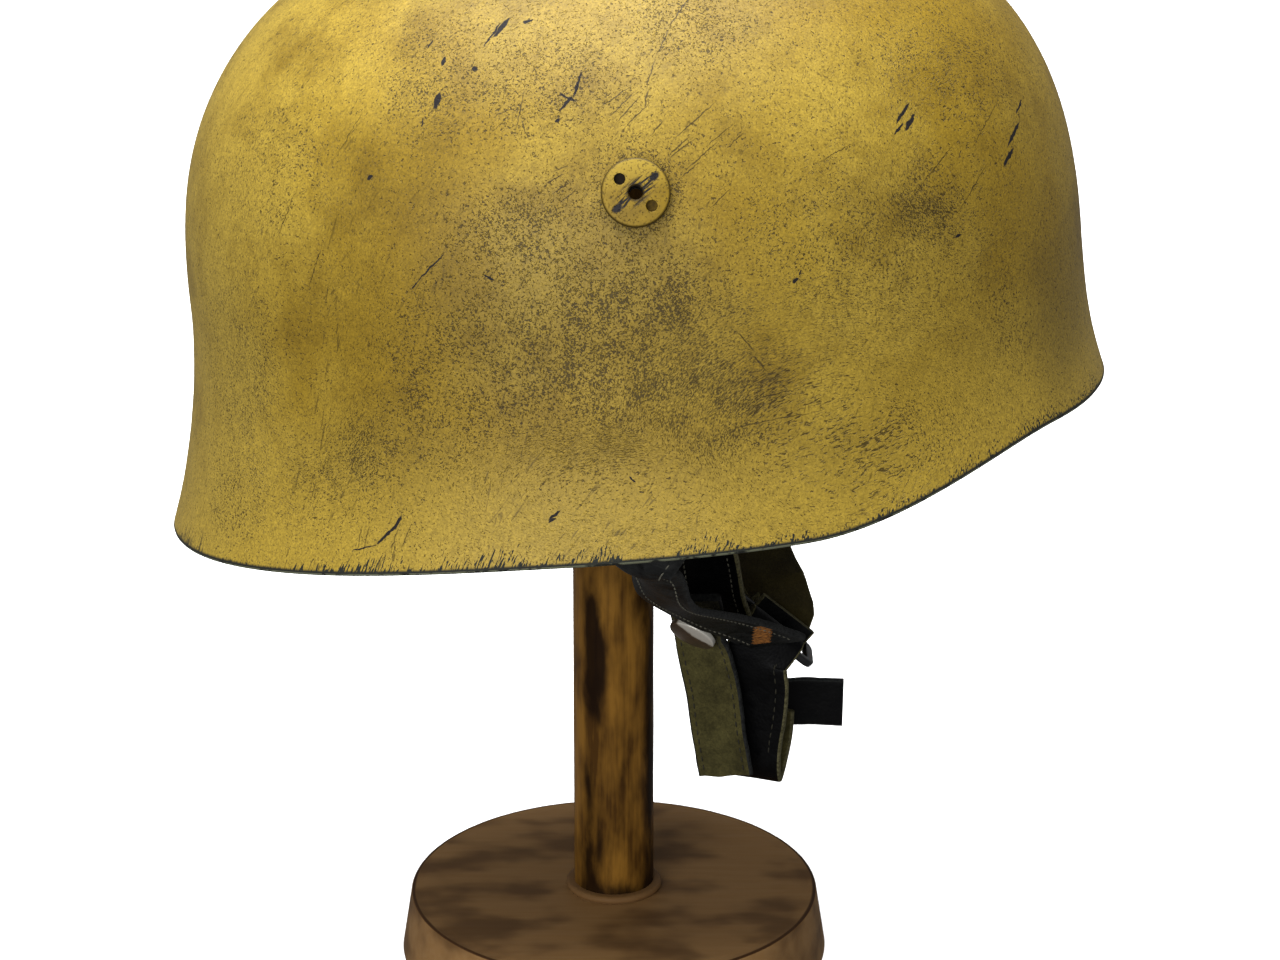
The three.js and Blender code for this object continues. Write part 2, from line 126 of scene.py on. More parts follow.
class FastenerSizes(bpy.types.PropertyGroup):
    """Sizes of the side bolts, their nuts, the buckle and the press stud."""

    bolt_angle: turn("Bolt angle", "Angle of the bolts from the front", 87.2)
    bolt_height: length("Bolt height", "Height of the bolts above the side rim", 98.2)
    head_radius: length("Head radius", "Radius of a bolt's head", 9.2)
    head_height: length("Head height", "Height of a bolt's head", 2.6)
    head_bevel: length("Head bevel", "Rounding of the head's edge", 0.8)
    head_crown: length("Head crown", "How much the head domes to its middle", 0.4)
    shank_radius: length("Shank radius", "Radius of a bolt's shank", 4)
    shank_length: length("Shank length", "Length of a bolt's shank", 13.6)
    vent_radius: length("Vent radius", "Radius of the hole through a bolt", 1.9)
    spanner_radius: length("Spanner hole radius", "Radius of the two spanner holes", 1.55)
    spanner_pitch: length("Spanner pitch", "Middle of the head to a spanner hole", 5.5)
    spanner_depth: length("Spanner depth", "Depth of the spanner holes", 1.7)
    gap: length("Gap", "Clearance between fitted pieces", 0.4)
    wall_gap: length("Wall gap", "Room between the shell and the first strap", 0.9)
    nut_radius: length("Nut radius", "Outer radius of a nut", 7.6)
    nut_height: length("Nut height", "Height of a nut", 3.4)
    nut_clearance: length("Nut clearance", "Room between a nut and the last strap", 1.1)
    buckle_place: location("Buckle place", "Middle of the buckle", 48.3, 7.5, 101.9)
    buckle_slope: turn("Buckle slope", "How far the buckle slopes down to the front", 39.6)
    buckle_length: length("Buckle length", "Outer length of the frame", 30)
    buckle_width: length("Buckle width", "Outer width of the frame", 16)
    buckle_bar: length("Buckle bar", "Width of the frame's bars", 3)
    buckle_thickness: length("Buckle thickness", "Thickness of the frame", 2.4)
    buckle_corner: length("Buckle corner", "Outer radius of the frame's corners", 3.5)
    stud_radius: length("Stud radius", "Radius of the press stud's cap", 7.2)
    stud_height: length("Stud height", "Height of the cap", 2.4)
    stud_neck: length("Stud neck", "How far the cap stands off the strap", 1.1)
    stud_neck_radius: length("Stud neck radius", "Radius of the cap's neck", 3)
    stud_row: number("Stud row", "Where the stud sits along its strap, in rows", 2.5)


class StrapSizes(bpy.types.PropertyGroup):
    """Sizes of the leather straps and their stitching."""

    width: length("Width", "Width of the main straps", 20)
    stud_end_width: length("Stud end width", "Width of the strap that carries the stud", 17.5)
    tab_width: length("Tab width", "Width of the square free end", 15.5)
    thickness: length("Thickness", "Leather thickness", 2.2)
    edge_round: length("Edge rounding", "Rounding of the cut edges", 0.7)
    stitch_pitch: length("Stitch pitch", "Distance from stitch to stitch", 2.9)
    stitch_length: length("Stitch length", "Length of thread that shows", 1.9)
    thread: length("Thread", "Thickness of the thread", 0.5)


class StandSizes(bpy.types.PropertyGroup):
    """Sizes of the wooden stand."""

    post_radius: length("Post radius", "Radius of the post", 12.1)
    post_top: length("Post top", "Height of the post's top", 326.6)
    post_round: length("Post top rounding", "Rounding of the post's top edge", 3)
    foot_radius: length("Foot radius", "Radius of the bead round the post's foot", 14.6)
    foot_height: length("Foot height", "Height of that bead", 2.4)
    base_radius: length("Base radius", "Radius of the base at the table", 65)
    base_top_radius: length("Base top radius", "Radius of the base's top face", 62.2)
    base_height: length("Base height", "Height of the base", 20)
    base_bevel: length("Base bevel", "Eased foot of the base", 1.2)


class StageSizes(bpy.types.PropertyGroup):
    """Camera, light and floor."""

    camera_place: location("Camera place", "Where the camera stands", 7.99, -1137.19, 577.75)
    camera_aim: location("Camera aim", "The point at the middle of the picture", 7.99, 0, 152.8)
    lens: number("Lens", "Focal length in millimetres on a 36 mm sensor", 115.34)
    floor_half: length("Floor", "Half the floor's side", 10000)
    sky: number("Sky", "Strength of the even white surround", 0.24)
    key: number("Key light", "Power of the large light overhead in watts", 40.0)
    fill: number("Fill light", "Power of the soft light in front in watts", 14.0)
    wash: number("Floor wash", "Strength of the light that keeps the floor white", 4.2)


class Finishes(bpy.types.PropertyGroup):
    """Colours of the finishes."""

    ochre: colour("Ochre", "Main colour of the paint", "#987B1D")
    ochre_deep: colour("Deep ochre", "Darker, browner patches of the paint", "#7A6012")
    # Pale ochre also paints the highlights along the lowest part of the wall and on the upper half of the
    # bolt heads.
    ochre_pale_and_lit: colour("Pale ochre", "Rubbed, paler patches of the paint", "#B29637")
    # Dirty ochre also paints the shaded band at the front of the shell.
    ochre_dirty_and_shade: colour("Dirty ochre", "Paint browned by handling", "#4A3A12")
    # Grime also paints the shade on the suede of the strap that hangs deepest in shade.
    grime: colour("Grime", "Dirt worked into the scuffed paint", "#2A1F08")
    scratch: colour("Scratch", "Fine scratches through the paint", "#32260A")
    chip: colour("Chip", "Steel and primer laid bare by chips", "#181416")
    rim: colour("Rim", "Worn rim", "#23251F")
    bare_edge: colour("Bare edge", "Rubbed steel edge of the rim", "#7D8068")
    inside: colour("Inside", "Dull paint inside the shell", "#3F3B30")
    black: colour("Black", "Dyed grain side of the leather", "#030304")
    black_worn: colour("Worn black", "Rubbed grain leather", "#2A2B2A")
    suede: colour("Suede", "Flesh side of the leather", "#59532F")
    suede_dark: colour("Dark suede", "Nap brushed the other way", "#332F19")
    raw_edge: colour("Raw edge", "Cut edges of the leather", "#6A6546")
    tan: colour("Tan", "Undyed leather at a cut end", "#C07C38")
    thread_pale: colour("Pale thread", "Waxed thread on the grain side", "#6C695B")
    thread_olive: colour("Olive thread", "Waxed thread on the suede side", "#2C2818")
    lacquer: colour("Lacquer", "Black lacquer of the buckle", "#0B0B0D")
    copper: colour("Copper", "Metal under the buckle's lacquer", "#9A5A36")
    nickel: colour("Nickel", "Plating of the stud", "#D9D5CB")
    # On the stud this colour is painted shade on its lower half; on the nuts it is a brown bloom.
    tarnish: colour("Tarnish", "Dull film on the stud", "#A69888")
    steel: colour("Steel", "Plain steel of the nuts", "#6B6862")
    pine: colour("Pine", "Warm pine of the post", "#4E3312")
    pine_pale: colour("Pale pine", "Less scorched pine", "#8F6526")
    # Scorch also paints the shade down the post's sides.
    scorch: colour("Scorch", "Burnt grain", "#180A02")
    stain: colour("Stain", "Stained wood of the base", "#957044")
    stain_pale: colour("Pale stain", "Rubbed stain", "#A07D52")
    stain_dark: colour("Dark stain", "Smudges in the stain", "#452C15")
    floor: colour("Floor", "Pale floor", "#DCDCDC")


# Short tables of this helmet's own shape, wear and painted shade

# Ways that the width of a strap can lie.
FORE_AFT = (1, 0, 0)
TURNED = (0.94, -0.34, 0)
BESIDE_REAR = (0.89, -0.38, 0.25)
UPRIGHT = (0, 0, 1)

# In the buckle's frame its two bars lie this far from its middle, the straps roll round them at this
# radius, and the two straps sit this far off the middle along the bars.
BAR = 6.5
ROLL = 3.3
LOOP_OFF = -1.5
LEFT_OFF = 1.2

# Rows of each strap from its hidden or upper end to its lower end, in millimetres.
# wall rows give the height in the helmet and the depth under the shell's outer face,
# stand rows and buckle rows give x, y and z in that frame. The last entry is the way the width lies.
STRAP_ROWS = {
    "strap_right_rear": (-1, [
        ("wall", 109.2, 3.4), ("wall", 98.2, 3.4), ("wall", 80.2, 4.0), ("wall", 54, 6), ("wall", 30, 8),
        ("wall", 11, 9.6), ("stand", 5, -106, 168, (0.93, -0.33, -0.1)),
        ("stand", 8.3, -95, 160.8, (0.9, -0.38, -0.2)),
        ("stand", 12.2, -82, 151.5, (0.83, -0.47, -0.32)), ("stand", 17, -66, 140.7, (0.95, -0.41, -0.15)),
        ("stand", 24.4, -46, 129.4, (0.96, -0.38, 0.05)), ("stand", 34.3, -27, 117.9),
        ("stand", 42.7, -15, 110), ("stand", 48.6, -6.6, 103.9),
    ]),
    "strap_right_front": (-1, [
        ("wall", 109.2, 6), ("wall", 98.2, 6), ("wall", 84.2, 7.5), ("stand", 11, -77, 222),
        ("stand", 18, -52, 181), ("stand", 26.9, -26, 140.4, TURNED), ("stand", 29.3, -13, 122.9, TURNED),
        ("stand", 31.6, -6, 113, TURNED),
    ]),
    "strap_left": (1, [
        ("wall", 109.2, 3.4), ("wall", 98.2, 3.4), ("wall", 82.2, 4.9), ("stand", 13, 100, 212),
        ("stand", 19.6, 79, 170), ("stand", 32.6, 56, 135.4), ("stand", 44, 38, 116.2),
        ("stand", 48.7, 25, 110.2),
        ("buckle", LEFT_OFF, BAR + ROLL + 1.4, 4.5), ("buckle", LEFT_OFF, BAR + ROLL, 0),
        ("buckle", LEFT_OFF, BAR + ROLL * 0.7, -ROLL * 0.7), ("buckle", LEFT_OFF, BAR, -ROLL),
        ("buckle", LEFT_OFF, BAR - ROLL * 0.7, -ROLL * 0.7), ("buckle", LEFT_OFF, BAR - ROLL, 0),
        ("buckle", LEFT_OFF, BAR - ROLL, 6),
    ]),
    "strap_stud_end": (0, [
        ("stand", 22.7, -34.8, 129.3, BESIDE_REAR), ("stand", 23.5, -22.2, 121.6, BESIDE_REAR),
        ("stand", 24.6, -10.4, 113.4, (0.88, -0.38, -0.12)),
        ("stand", 25.9, -2.6, 104.4, (0.87, -0.38, -0.24)),
        ("stand", 28.2, -1.4, 94.1, TURNED), ("stand", 30, -2.2, 86.2, TURNED),
        ("stand", 31.6, -3, 73.9, TURNED),
        ("stand", 34.1, -3, 58.4, TURNED),
    ]),
    "strap_loop": (0, [
        ("buckle", LOOP_OFF, ROLL - BAR, -8), ("buckle", LOOP_OFF, ROLL - BAR, 0),
        ("buckle", LOOP_OFF, ROLL * 0.7 - BAR, ROLL * 0.7), ("buckle", LOOP_OFF, -BAR, ROLL),
        ("buckle", LOOP_OFF, -ROLL * 0.7 - BAR, ROLL * 0.7), ("buckle", LOOP_OFF, -ROLL - BAR, 0),
        ("stand", 42.6, -2.3, 96.3, (0.9, -0.2, -0.3)), ("stand", 43.2, -1, 87, TURNED),
        ("stand", 42.6, 0, 78, TURNED), ("stand", 41.4, 1, 68.2, TURNED), ("stand", 41.2, 2, 59, TURNED),
        ("stand", 41.9, 5.5, 54.8, TURNED), ("stand", 43.2, 9, 58, TURNED), ("stand", 45, 11, 67.1, TURNED),
        ("stand", 45.5, 11, 75.4, TURNED),
    ]),
    "strap_tab": (0, [
        ("stand", 45, 13.6, 74.4, UPRIGHT), ("stand", 57, 16.4, 74.4, UPRIGHT),
        ("stand", 70.2, 16, 74.2, UPRIGHT),
    ]),
}

# Curl of a strap across its width: rows where it begins, is full, fades and ends, its radius, and
# how far the strap is pushed forwards there, in millimetres.
CURLS = {"strap_right_rear": (4.6, 6.0, 7.0, 9.0, 14.0, 2.2)}

# The tan patch of strap_right_rear: first and last strap row, then its middle and half its width along
# x in millimetres.
TAN_PATCH = (11.1, 12.7, 43.4, 2.6)

# Faces across the width of a strap.
FACE_COLUMNS = 20

# The side of each strap that carries the black grain: 1 is the side its face points to.
GRAIN_SIDE = {
    "strap_right_rear": 1, "strap_right_front": 1, "strap_left": -1,
    "strap_stud_end": -1, "strap_loop": 1, "strap_tab": 1,
}

# Straps whose cut edges were dyed with the grain side.
DYED_EDGES = ("strap_right_rear", "strap_stud_end", "strap_tab")

# How grey the grain was rubbed, and how far the suede is darkened as painted shade, where a strap differs
# from the others.
HANDLING_AND_SHADE = {"strap_right_rear": (1.0, 0.0), "strap_left": (0.3, 0.6)}

# Rows of stitches: strap, side, millimetres from the middle of the width, first and last strap row.
STITCH_ROWS = [
    ("strap_right_rear", 1, 6.8, 5.2, 12.7), ("strap_right_rear", 1, -6.8, 5.2, 12.7),
    ("strap_right_front", 1, 7.0, 3.0, 7.0), ("strap_right_front", 1, -7.0, 3.0, 7.0),
    ("strap_left", -1, 7.0, 3.0, 8.0), ("strap_left", -1, -7.0, 3.0, 8.0),
    ("strap_loop", 1, 6.4, 5.6, 9.3), ("strap_loop", 1, -7.0, 10.4, 13.6),
    ("strap_stud_end", 1, 6.4, 0.4, 6.9), ("strap_stud_end", 1, -6.4, 0.4, 6.9),
    ("strap_stud_end", -1, 6.4, 0.4, 6.9), ("strap_stud_end", -1, -6.4, 0.4, 6.9),
]

# Wear on the wearer's right side is laid out on a plane that leans back by this much,
# so that the crown and the wall are both seen on it: x forwards, v up the plane, in millimetres.
WEAR_LEAN = math.radians(20.5)

# Scuffed patches: x, v, half width, half height, strength.
SCUFFS = [
    (3, 178, 36, 26, 1.0), (-24, 207, 20, 14, 0.75), (30, 165, 24, 18, 0.85), (-40, 170, 24, 24, 0.65),
    (-67, 151, 12, 10, 0.8), (-75, 143, 18, 14, 0.45), (-21, 247, 28, 13, 0.55), (-46, 250, 12, 18, 0.55),
    (85, 215, 11, 14, 0.9), (70, 202, 34, 22, 0.4), (93, 255, 22, 16, 0.35), (21, 264, 14, 12, 0.6),
    (-102, 175, 12, 26, 0.5), (-93, 228, 15, 20, 0.4), (72, 154, 30, 14, 0.4), (-8, 154, 20, 14, 0.55),
    (7, 220, 13, 13, 0.6), (-104, 140, 10, 14, 0.6), (108, 190, 8, 20, 0.3),
]

# Darker, browner stains: x, v, half width, half height, strength. The first row, a narrow upright mark at the
# front, is painted shade where the wall turns away from the light.
STAINS_AND_SHADE = [
    (124, 186, 9, 20, 0.6), (-10, 190, 44, 24, 0.35), (-62, 150, 22, 12, 0.3), (86, 214, 22, 20, 0.2),
    (-55, 225, 16, 20, 0.25), (40, 150, 40, 12, 0.2),
]

# Where the dirt was rubbed out in streaks along the wall: x, v, half width, half height, strength.
RUBBED = [(62, 152, 46, 34, 1.0), (6, 140, 40, 14, 0.6), (-86, 190, 20, 50, 0.5), (96, 235, 24, 30, 0.5)]

# Scorch marks on the post: degrees from its front towards the helmet's front, height, half the width in
# degrees, half height, strength. Marks below nought are paler wood. The tall mark at 68 degrees, which runs
# nearly the post's whole height, is painted shade down its side.
SCORCHES_AND_SHADE = [
    (-28, 97, 17, 17, 0.75), (-34, 115, 11, 11, 0.5), (-38, 57, 10, 13, 0.5), (-37, 32, 12, 10, 0.55),
    (68, 90, 15, 95, 0.5), (46, 122, 14, 11, 0.4), (15, 66, 5, 10, 0.35), (-21, 42, 4, 13, 0.35),
    (-5, 38, 4, 15, 0.3), (10, 40, 4, 13, 0.35), (5, 22, 75, 4, 0.6), (-5, 72, 40, 9, -0.35),
    (-66, 96, 9, 38, -0.3),
]

# Chips to the dark steel: x, v, length, width, turn in degrees from forwards to up.
CHIPS = [
    (-46, 244, 5.2, 1.7, 74), (-44.5, 255, 3.0, 1.0, 70), (-48.2, 260, 3.2, 0.6, 62),
    (-29, 264, 7.5, 1.4, 52), (-31.5, 262, 8.5, 0.6, 56), (-36, 252.5, 1.6, 1.5, 0),
    (-8.5, 247.5, 8.0, 0.8, 72), (-11.6, 242.5, 5.6, 1.0, 50), (-11, 244, 5.4, 0.7, -28),
    (-13.8, 238, 1.8, 0.8, 60), (78.4, 241.5, 7.4, 1.0, 58), (80.4, 239, 6.0, 1.3, 60),
    (77.2, 237, 4.4, 0.7, 55), (110.5, 238, 9.0, 1.0, 62), (108.8, 231.5, 6.6, 1.2, 60),
    (112.5, 246, 5.0, 0.7, 66), (-64.3, 224, 1.7, 1.6, 0), (-47.5, 199.6, 11.5, 0.55, 44),
    (-52, 195, 3.0, 0.4, 50), (-32, 196.6, 3.8, 0.6, -28), (49.2, 196, 2.2, 1.0, 40),
    (50.4, 198, 1.6, 0.7, 80), (-60.5, 128.5, 9.0, 0.9, 42), (-57.6, 131.6, 4.5, 1.0, 62),
    (-67, 124.6, 7.5, 0.5, 12), (-15, 133.6, 4.6, 0.8, 42), (-15.6, 132.2, 2.6, 0.9, 25),
    (6, 143.2, 2.4, 0.5, -40), (-22, 265.5, 3.0, 0.8, 15), (94, 209, 2.0, 0.9, 30),
    (-50, 238, 2.2, 0.5, 80),
]

# Fine brown scratches, laid out in the same way.
SCRATCHES = [
    (18.6, 268, 12.0, 0.5, 56), (14.2, 259.6, 9.0, 0.5, 66), (10.8, 250.5, 11.0, 0.45, 74),
    (9.6, 243.6, 6.0, 0.6, 80), (4.8, 240.6, 11.2, 0.4, 48), (1.6, 244.2, 11.0, 0.4, 34),
    (3.4, 242.2, 11.0, 0.4, 46), (7.2, 239.2, 11.0, 0.4, 44), (22.6, 238, 17.0, 0.45, 43),
    (12.6, 236, 6.0, 0.45, 50), (18.2, 231, 8.0, 0.5, 42), (24.4, 228.6, 12.6, 0.4, 42),
    (33, 232.6, 7.0, 0.4, 45), (29, 234, 9.0, 0.35, 40), (-28, 240.4, 7.8, 0.4, 22),
    (-23.6, 241.4, 13.0, 0.4, 78), (-22.4, 235.4, 7.0, 0.4, -68), (-14.4, 222.4, 6.6, 0.4, 28),
    (-12.6, 220, 7.6, 0.4, 34), (-10.8, 218, 6.0, 0.4, 40), (-13, 225, 5.0, 0.35, 20),
    (29.4, 217.4, 9.0, 0.35, 44), (19, 230.4, 9.6, 0.5, 38), (21, 224.6, 8.0, 0.4, 40),
    (-66.6, 126.6, 9.0, 0.35, 76), (-68.4, 127, 8.4, 0.3, 80), (-55.2, 128, 9.0, 0.3, 66),
    (-58.6, 126.8, 8.0, 0.3, 72), (88, 228, 16.0, 0.35, 52), (98, 222, 20.0, 0.3, 58),
    (102, 240, 18.0, 0.3, 60), (-88, 215, 18.0, 0.3, 66), (-70, 236, 16.0, 0.3, 58),
    (-80, 200, 14.0, 0.3, 70), (60, 230, 14.0, 0.3, 30), (36, 180, 9.0, 0.5, -48), (40, 174, 6.0, 0.6, -50),
    (44, 166, 11.0, 0.4, 12), (48, 160, 13.0, 0.4, 10), (38, 158, 12.0, 0.35, 14),
]


# Form of the shell and of the straps


def smoothstep(value, low, high):
    share = np.clip((value - low) / (high - low), 0, 1)
    return share * share * (3 - 2 * share)


def wander(points, size, seed):
    """Smooth noise from -1 to 1 at each point, with bumps about size metres apart."""
    shift = Vector((seed * 7.31, seed * 3.17, seed * 5.93))
    return np.array([noise.noise(Vector(point) / size + shift) for point in points])


class ShellForm:
    """The shell's outer face, by the angle from the front to the left and the height above the side rim."""

    def __init__(self, sizes):
        self.sizes = sizes

    def rim_height(self, angle):
        s = self.sizes
        away = np.arccos(np.clip(np.cos(angle), -1, 1))
        brow = s.brow_lift * (1 - smoothstep(away, s.brow_ends, s.side_starts))
        return brow - s.nape_drop * smoothstep(away, s.side_ends, math.pi)

    def by_side(self, angle, front, side, rear):
        end = np.where(np.cos(angle) >= 0, front, rear)
        return end * np.cos(angle) ** 2 + side * np.sin(angle) ** 2

    def point(self, angle, height):
        s = self.sizes
        plan_length = np.where(np.cos(angle) >= 0, s.front_length, s.rear_length)
        along = np.abs(np.cos(angle) / plan_length) ** s.plan_power
        beside = np.abs(np.sin(angle) / s.half_width) ** s.plan_power
        plan = (along + beside) ** (-1 / s.plan_power)
        dome = np.clip((height - s.shoulder_height) / (s.crown_height - s.shoulder_height), 0, 1)
        drop = np.clip((s.shoulder_height - height) / s.shoulder_height, 0, 2)
        out = self.by_side(angle, s.flare_front, s.flare_side, s.flare_rear)
        over = self.by_side(angle, s.flare_front_height, s.flare_side_height, s.flare_rear_height)
        turned = np.clip((self.rim_height(angle) + over - height) / over, 0, 1)
        closing = (1 - dome ** s.dome_rise) ** (1 / s.dome_close)
        radius = plan * closing * (1 + s.wall_spread * drop) + out * turned ** 2
        return np.stack(np.broadcast_arrays(radius * np.cos(angle), radius * np.sin(angle), height), axis=-1)

    def normal(self, angle, height):
        step = 0.02
        low = np.minimum(height, self.sizes.crown_height - 2 * step * MM)
        around = self.point(angle + step, low) - self.point(angle - step, low)
        rise = self.point(angle, low + step * MM) - self.point(angle, low - step * MM)
        out = np.cross(around, rise)
        return out / np.linalg.norm(out, axis=-1, keepdims=True)

    def heights(self, angle, dome_rows, wall_rows):
        """Heights of each column from just below the crown's pole to the rim, one row for each."""
        s = self.sizes
        share = np.arange(1, dome_rows + 1) / dome_rows
        rise = np.cos(share * math.pi / 2).clip(0) ** (2 / s.dome_rise)
        dome = s.shoulder_height + rise * (s.crown_height - s.shoulder_height)
        fall = (np.arange(1, wall_rows + 1) / wall_rows)[:, None]
        wall = s.shoulder_height + fall * (self.rim_height(angle)[None, :] - s.shoulder_height)
        return np.concatenate([np.repeat(dome[:, None], len(angle), axis=1), wall])

    def seat(self):
        """Matrix from the helmet's own frame to the stand's."""
        s = self.sizes
        tip = Matrix.Rotation(-s.front_up, 4, "Y") @ Matrix.Rotation(-s.right_up, 4, "X")
        return Matrix.Translation(s.seat) @ tip

    def bolt_place(self, side, fasteners):
        """Matrix of a bolt: Z points out of the shell, Y up along it."""
        angle = np.array(side * fasteners.bolt_angle)
        height = np.array(fasteners.bolt_height)
        out = Vector(self.normal(angle, height))
        along = Vector((0, 0, 1)).cross(out).normalized()
        up = out.cross(along)
        turned = Matrix((along, up, out)).transposed().to_4x4()
        return self.seat() @ Matrix.Translation(Vector(self.point(angle, height))) @ turned


def moved(matrix, points):
    """Points carried by a 4 by 4 matrix."""
    m = np.array(matrix)
    return np.asarray(points) @ m[:3, :3].T + m[:3, 3]


def curve_through(points, places):
    """A smooth centripetal curve through points: where it is and where it heads.

    Places on it are counted in points.
    """
    points = np.asarray(points, dtype=float)
    padded = np.vstack([2 * points[0] - points[1], points, 2 * points[-1] - points[-2]])
    found, heading = [], []
    for place in places:
        first = min(int(place), len(points) - 2)
        share = place - first
        p0, p1, p2, p3 = padded[first:first + 4]
        d1 = max(np.linalg.norm(p2 - p1) ** 0.5, 1e-6)
        d0 = np.linalg.norm(p1 - p0) ** 0.5 or d1
        d2 = np.linalg.norm(p3 - p2) ** 0.5 or d1
        t1 = d1 * ((p1 - p0) / d0 - (p2 - p0) / (d0 + d1) + (p2 - p1) / d1)
        t2 = d1 * ((p2 - p1) / d1 - (p3 - p1) / (d1 + d2) + (p3 - p2) / d2)
        square = -3 * p1 + 3 * p2 - 2 * t1 - t2
        cube = 2 * p1 - 2 * p2 + t1 + t2
        found.append(p1 + t1 * share + square * share ** 2 + cube * share ** 3)
        heading.append(t1 + 2 * square * share + 3 * cube * share ** 2)
    return np.array(found), np.array(heading)


def buckle_matrix(fasteners):
    return Matrix.Translation(fasteners.buckle_place) @ Matrix.Rotation(fasteners.buckle_slope, 4, "Y")


class StrapForm:
    """The middle line of a strap, with the way its width lies and the way its face looks."""

    def __init__(self, name, scene):
        self.side, self.rows = STRAP_ROWS[name]
        self.curl = CURLS.get(name)
        form = ShellForm(scene.helmet_shell)
        fasteners = scene.helmet_fasteners
        buckle = buckle_matrix(fasteners)
        places, lays = [], []
        for row in self.rows:
            lay = np.array(row[4] if len(row) > 4 else FORE_AFT, dtype=float)
            if row[0] == "wall":
                angle, height = np.array(self.side * fasteners.bolt_angle), np.array(row[1] * MM)
                inside = form.point(angle, height) - row[2] * MM * form.normal(angle, height)
                point = moved(form.seat(), inside)
            else:
                point = np.array(row[1:4]) * MM
            if row[0] == "buckle":
                point = moved(buckle, point)
                lay = np.array(buckle.to_3x3() @ Vector(FORE_AFT))
            places.append(point)
            lays.append(lay)
        self.places, self.lays = np.array(places), np.array(lays)

    def at(self, places):
        """Points, headings, widthways and faceways at places counted in rows."""
        point, heading = curve_through(self.places, places)
        along = heading / np.linalg.norm(heading, axis=1, keepdims=True)
        across = curve_through(self.lays, places)[0]
        across = across - along * (across * along).sum(axis=1, keepdims=True)
        across = across / np.linalg.norm(across, axis=1, keepdims=True)
        return point, along, across, np.cross(along, across)

    def curled(self, places, offsets):
        """Offsets across the strap and off its face at each place, with the curl where it has one."""
        wide = np.repeat(offsets[None, :, 0], len(places), axis=0)
        deep = np.repeat(offsets[None, :, 1], len(places), axis=0)
        if self.curl is None:
            return wide, deep
        first, full, fading, last, radius, shift = self.curl
        share = smoothstep(places, first, full) * (1 - smoothstep(places, fading, last))
        bend = np.maximum(share, 1e-4)[:, None] / (radius * MM)
        turned = wide * bend
        return (np.sin(turned) * (1 / bend + deep) + share[:, None] * shift * MM,
                np.cos(turned) * (1 / bend + deep) - 1 / bend)

    def evenly(self, spacing, first=0.0, last=None):
        """Places counted in rows that lie evenly along the strap."""
        last = len(self.rows) - 1 if last is None else last
        dense = np.linspace(first, last, 400)
        point = curve_through(self.places, dense)[0]
        run = np.concatenate([[0], np.cumsum(np.linalg.norm(np.diff(point, axis=0), axis=1))])
        count = max(int(round(run[-1] / spacing)), 2)
        return np.interp(np.linspace(0, run[-1], count + 1), run, dense), np.linspace(0, run[-1], count + 1)


def patches(rows, points):
    """How strongly placed patches cover points on the wearer's right side, from 0 to 1."""
    x = points[:, 0] / MM
    v = (points[:, 2] * math.cos(WEAR_LEAN) + points[:, 1] * math.sin(WEAR_LEAN)) / MM
    cover = np.zeros(len(points))
    for at_x, at_v, half_x, half_v, strength in rows:
        away = np.hypot((x - at_x) / half_x, (v - at_v) / half_v)
        cover = np.maximum(cover, strength * (1 - smoothstep(away, 0.35, 1.5)))
    return cover


# Mesh making


def grid_faces(rows, columns, start=0, closed=False):
    """Corners of the faces between rows of points that each close on themselves.

    Where closed, the last row is joined to the first.
    """
    row, column = np.meshgrid(np.arange(rows if closed else rows - 1), np.arange(columns), indexing="ij")
    after, beside = (row + 1) % rows, (column + 1) % columns
    corners = [row * columns + column, after * columns + column,
               after * columns + beside, row * columns + beside]
    return (np.stack(corners, axis=-1).reshape(-1, 4) + start).tolist()


def capped_faces(rows, columns):
    """The same faces with a fan over each end, whose middle points follow the rows of points."""
    first, last, end = rows * columns, rows * columns + 1, (rows - 1) * columns
    faces = grid_faces(rows, columns)
    faces += [(first, i, (i + 1) % columns) for i in range(columns)]
    return faces + [(last, end + (i + 1) % columns, end + i) for i in range(columns)]


def make_mesh(name, points, faces, finishes, face_finish=None, flat=None, values=None, crease=40):
    """A mesh object from points and faces. flat gives each point a place on its material's own plane."""
    mesh = bpy.data.meshes.new(name)
    mesh.from_pydata([tuple(point) for point in np.asarray(points)], [], faces)
    for finish in finishes:
        mesh.materials.append(finish)
    if face_finish is not None:
        mesh.polygons.foreach_set("material_index", np.asarray(face_finish, dtype=np.int32))
    if flat is not None:
        corners = np.empty(len(mesh.loops), dtype=np.int32)
        mesh.loops.foreach_get("vertex_index", corners)
        layer = mesh.uv_layers.new(name="Flat")
        layer.uv.foreach_set("vector", np.asarray(flat, dtype=np.float32)[corners].ravel())
    for key, numbers in (values or {}).items():
        layer = mesh.attributes.new(key, "FLOAT", "POINT")
        layer.data.foreach_set("value", np.asarray(numbers, dtype=np.float32))
    mesh.polygons.foreach_set("use_smooth", np.ones(len(mesh.polygons), dtype=bool))
    shape = bmesh.new()
    shape.from_mesh(mesh)
    if shape.calc_volume(signed=True) < 0:
        bmesh.ops.reverse_faces(shape, faces=shape.faces)
        shape.to_mesh(mesh)
    shape.free()
    mesh.set_sharp_from_angle(angle=math.radians(crease))
    mesh.validate()
    made = bpy.data.objects.new(name, mesh)
    bpy.context.scene.collection.objects.link(made)
    return made


def cut(piece, tools):
    """Cuts the tools out of a piece and removes them."""
    for tool in tools:
        change = piece.modifiers.new("cut", "BOOLEAN")
        change.operation, change.solver, change.object = "DIFFERENCE", "EXACT", tool
        change.material_mode = "TRANSFER"
    whole = bpy.data.meshes.new_from_object(piece.evaluated_get(bpy.context.evaluated_depsgraph_get()))
    piece.modifiers.clear()
    piece.data = whole
    for tool in tools:
        bpy.data.objects.remove(tool)
    return piece


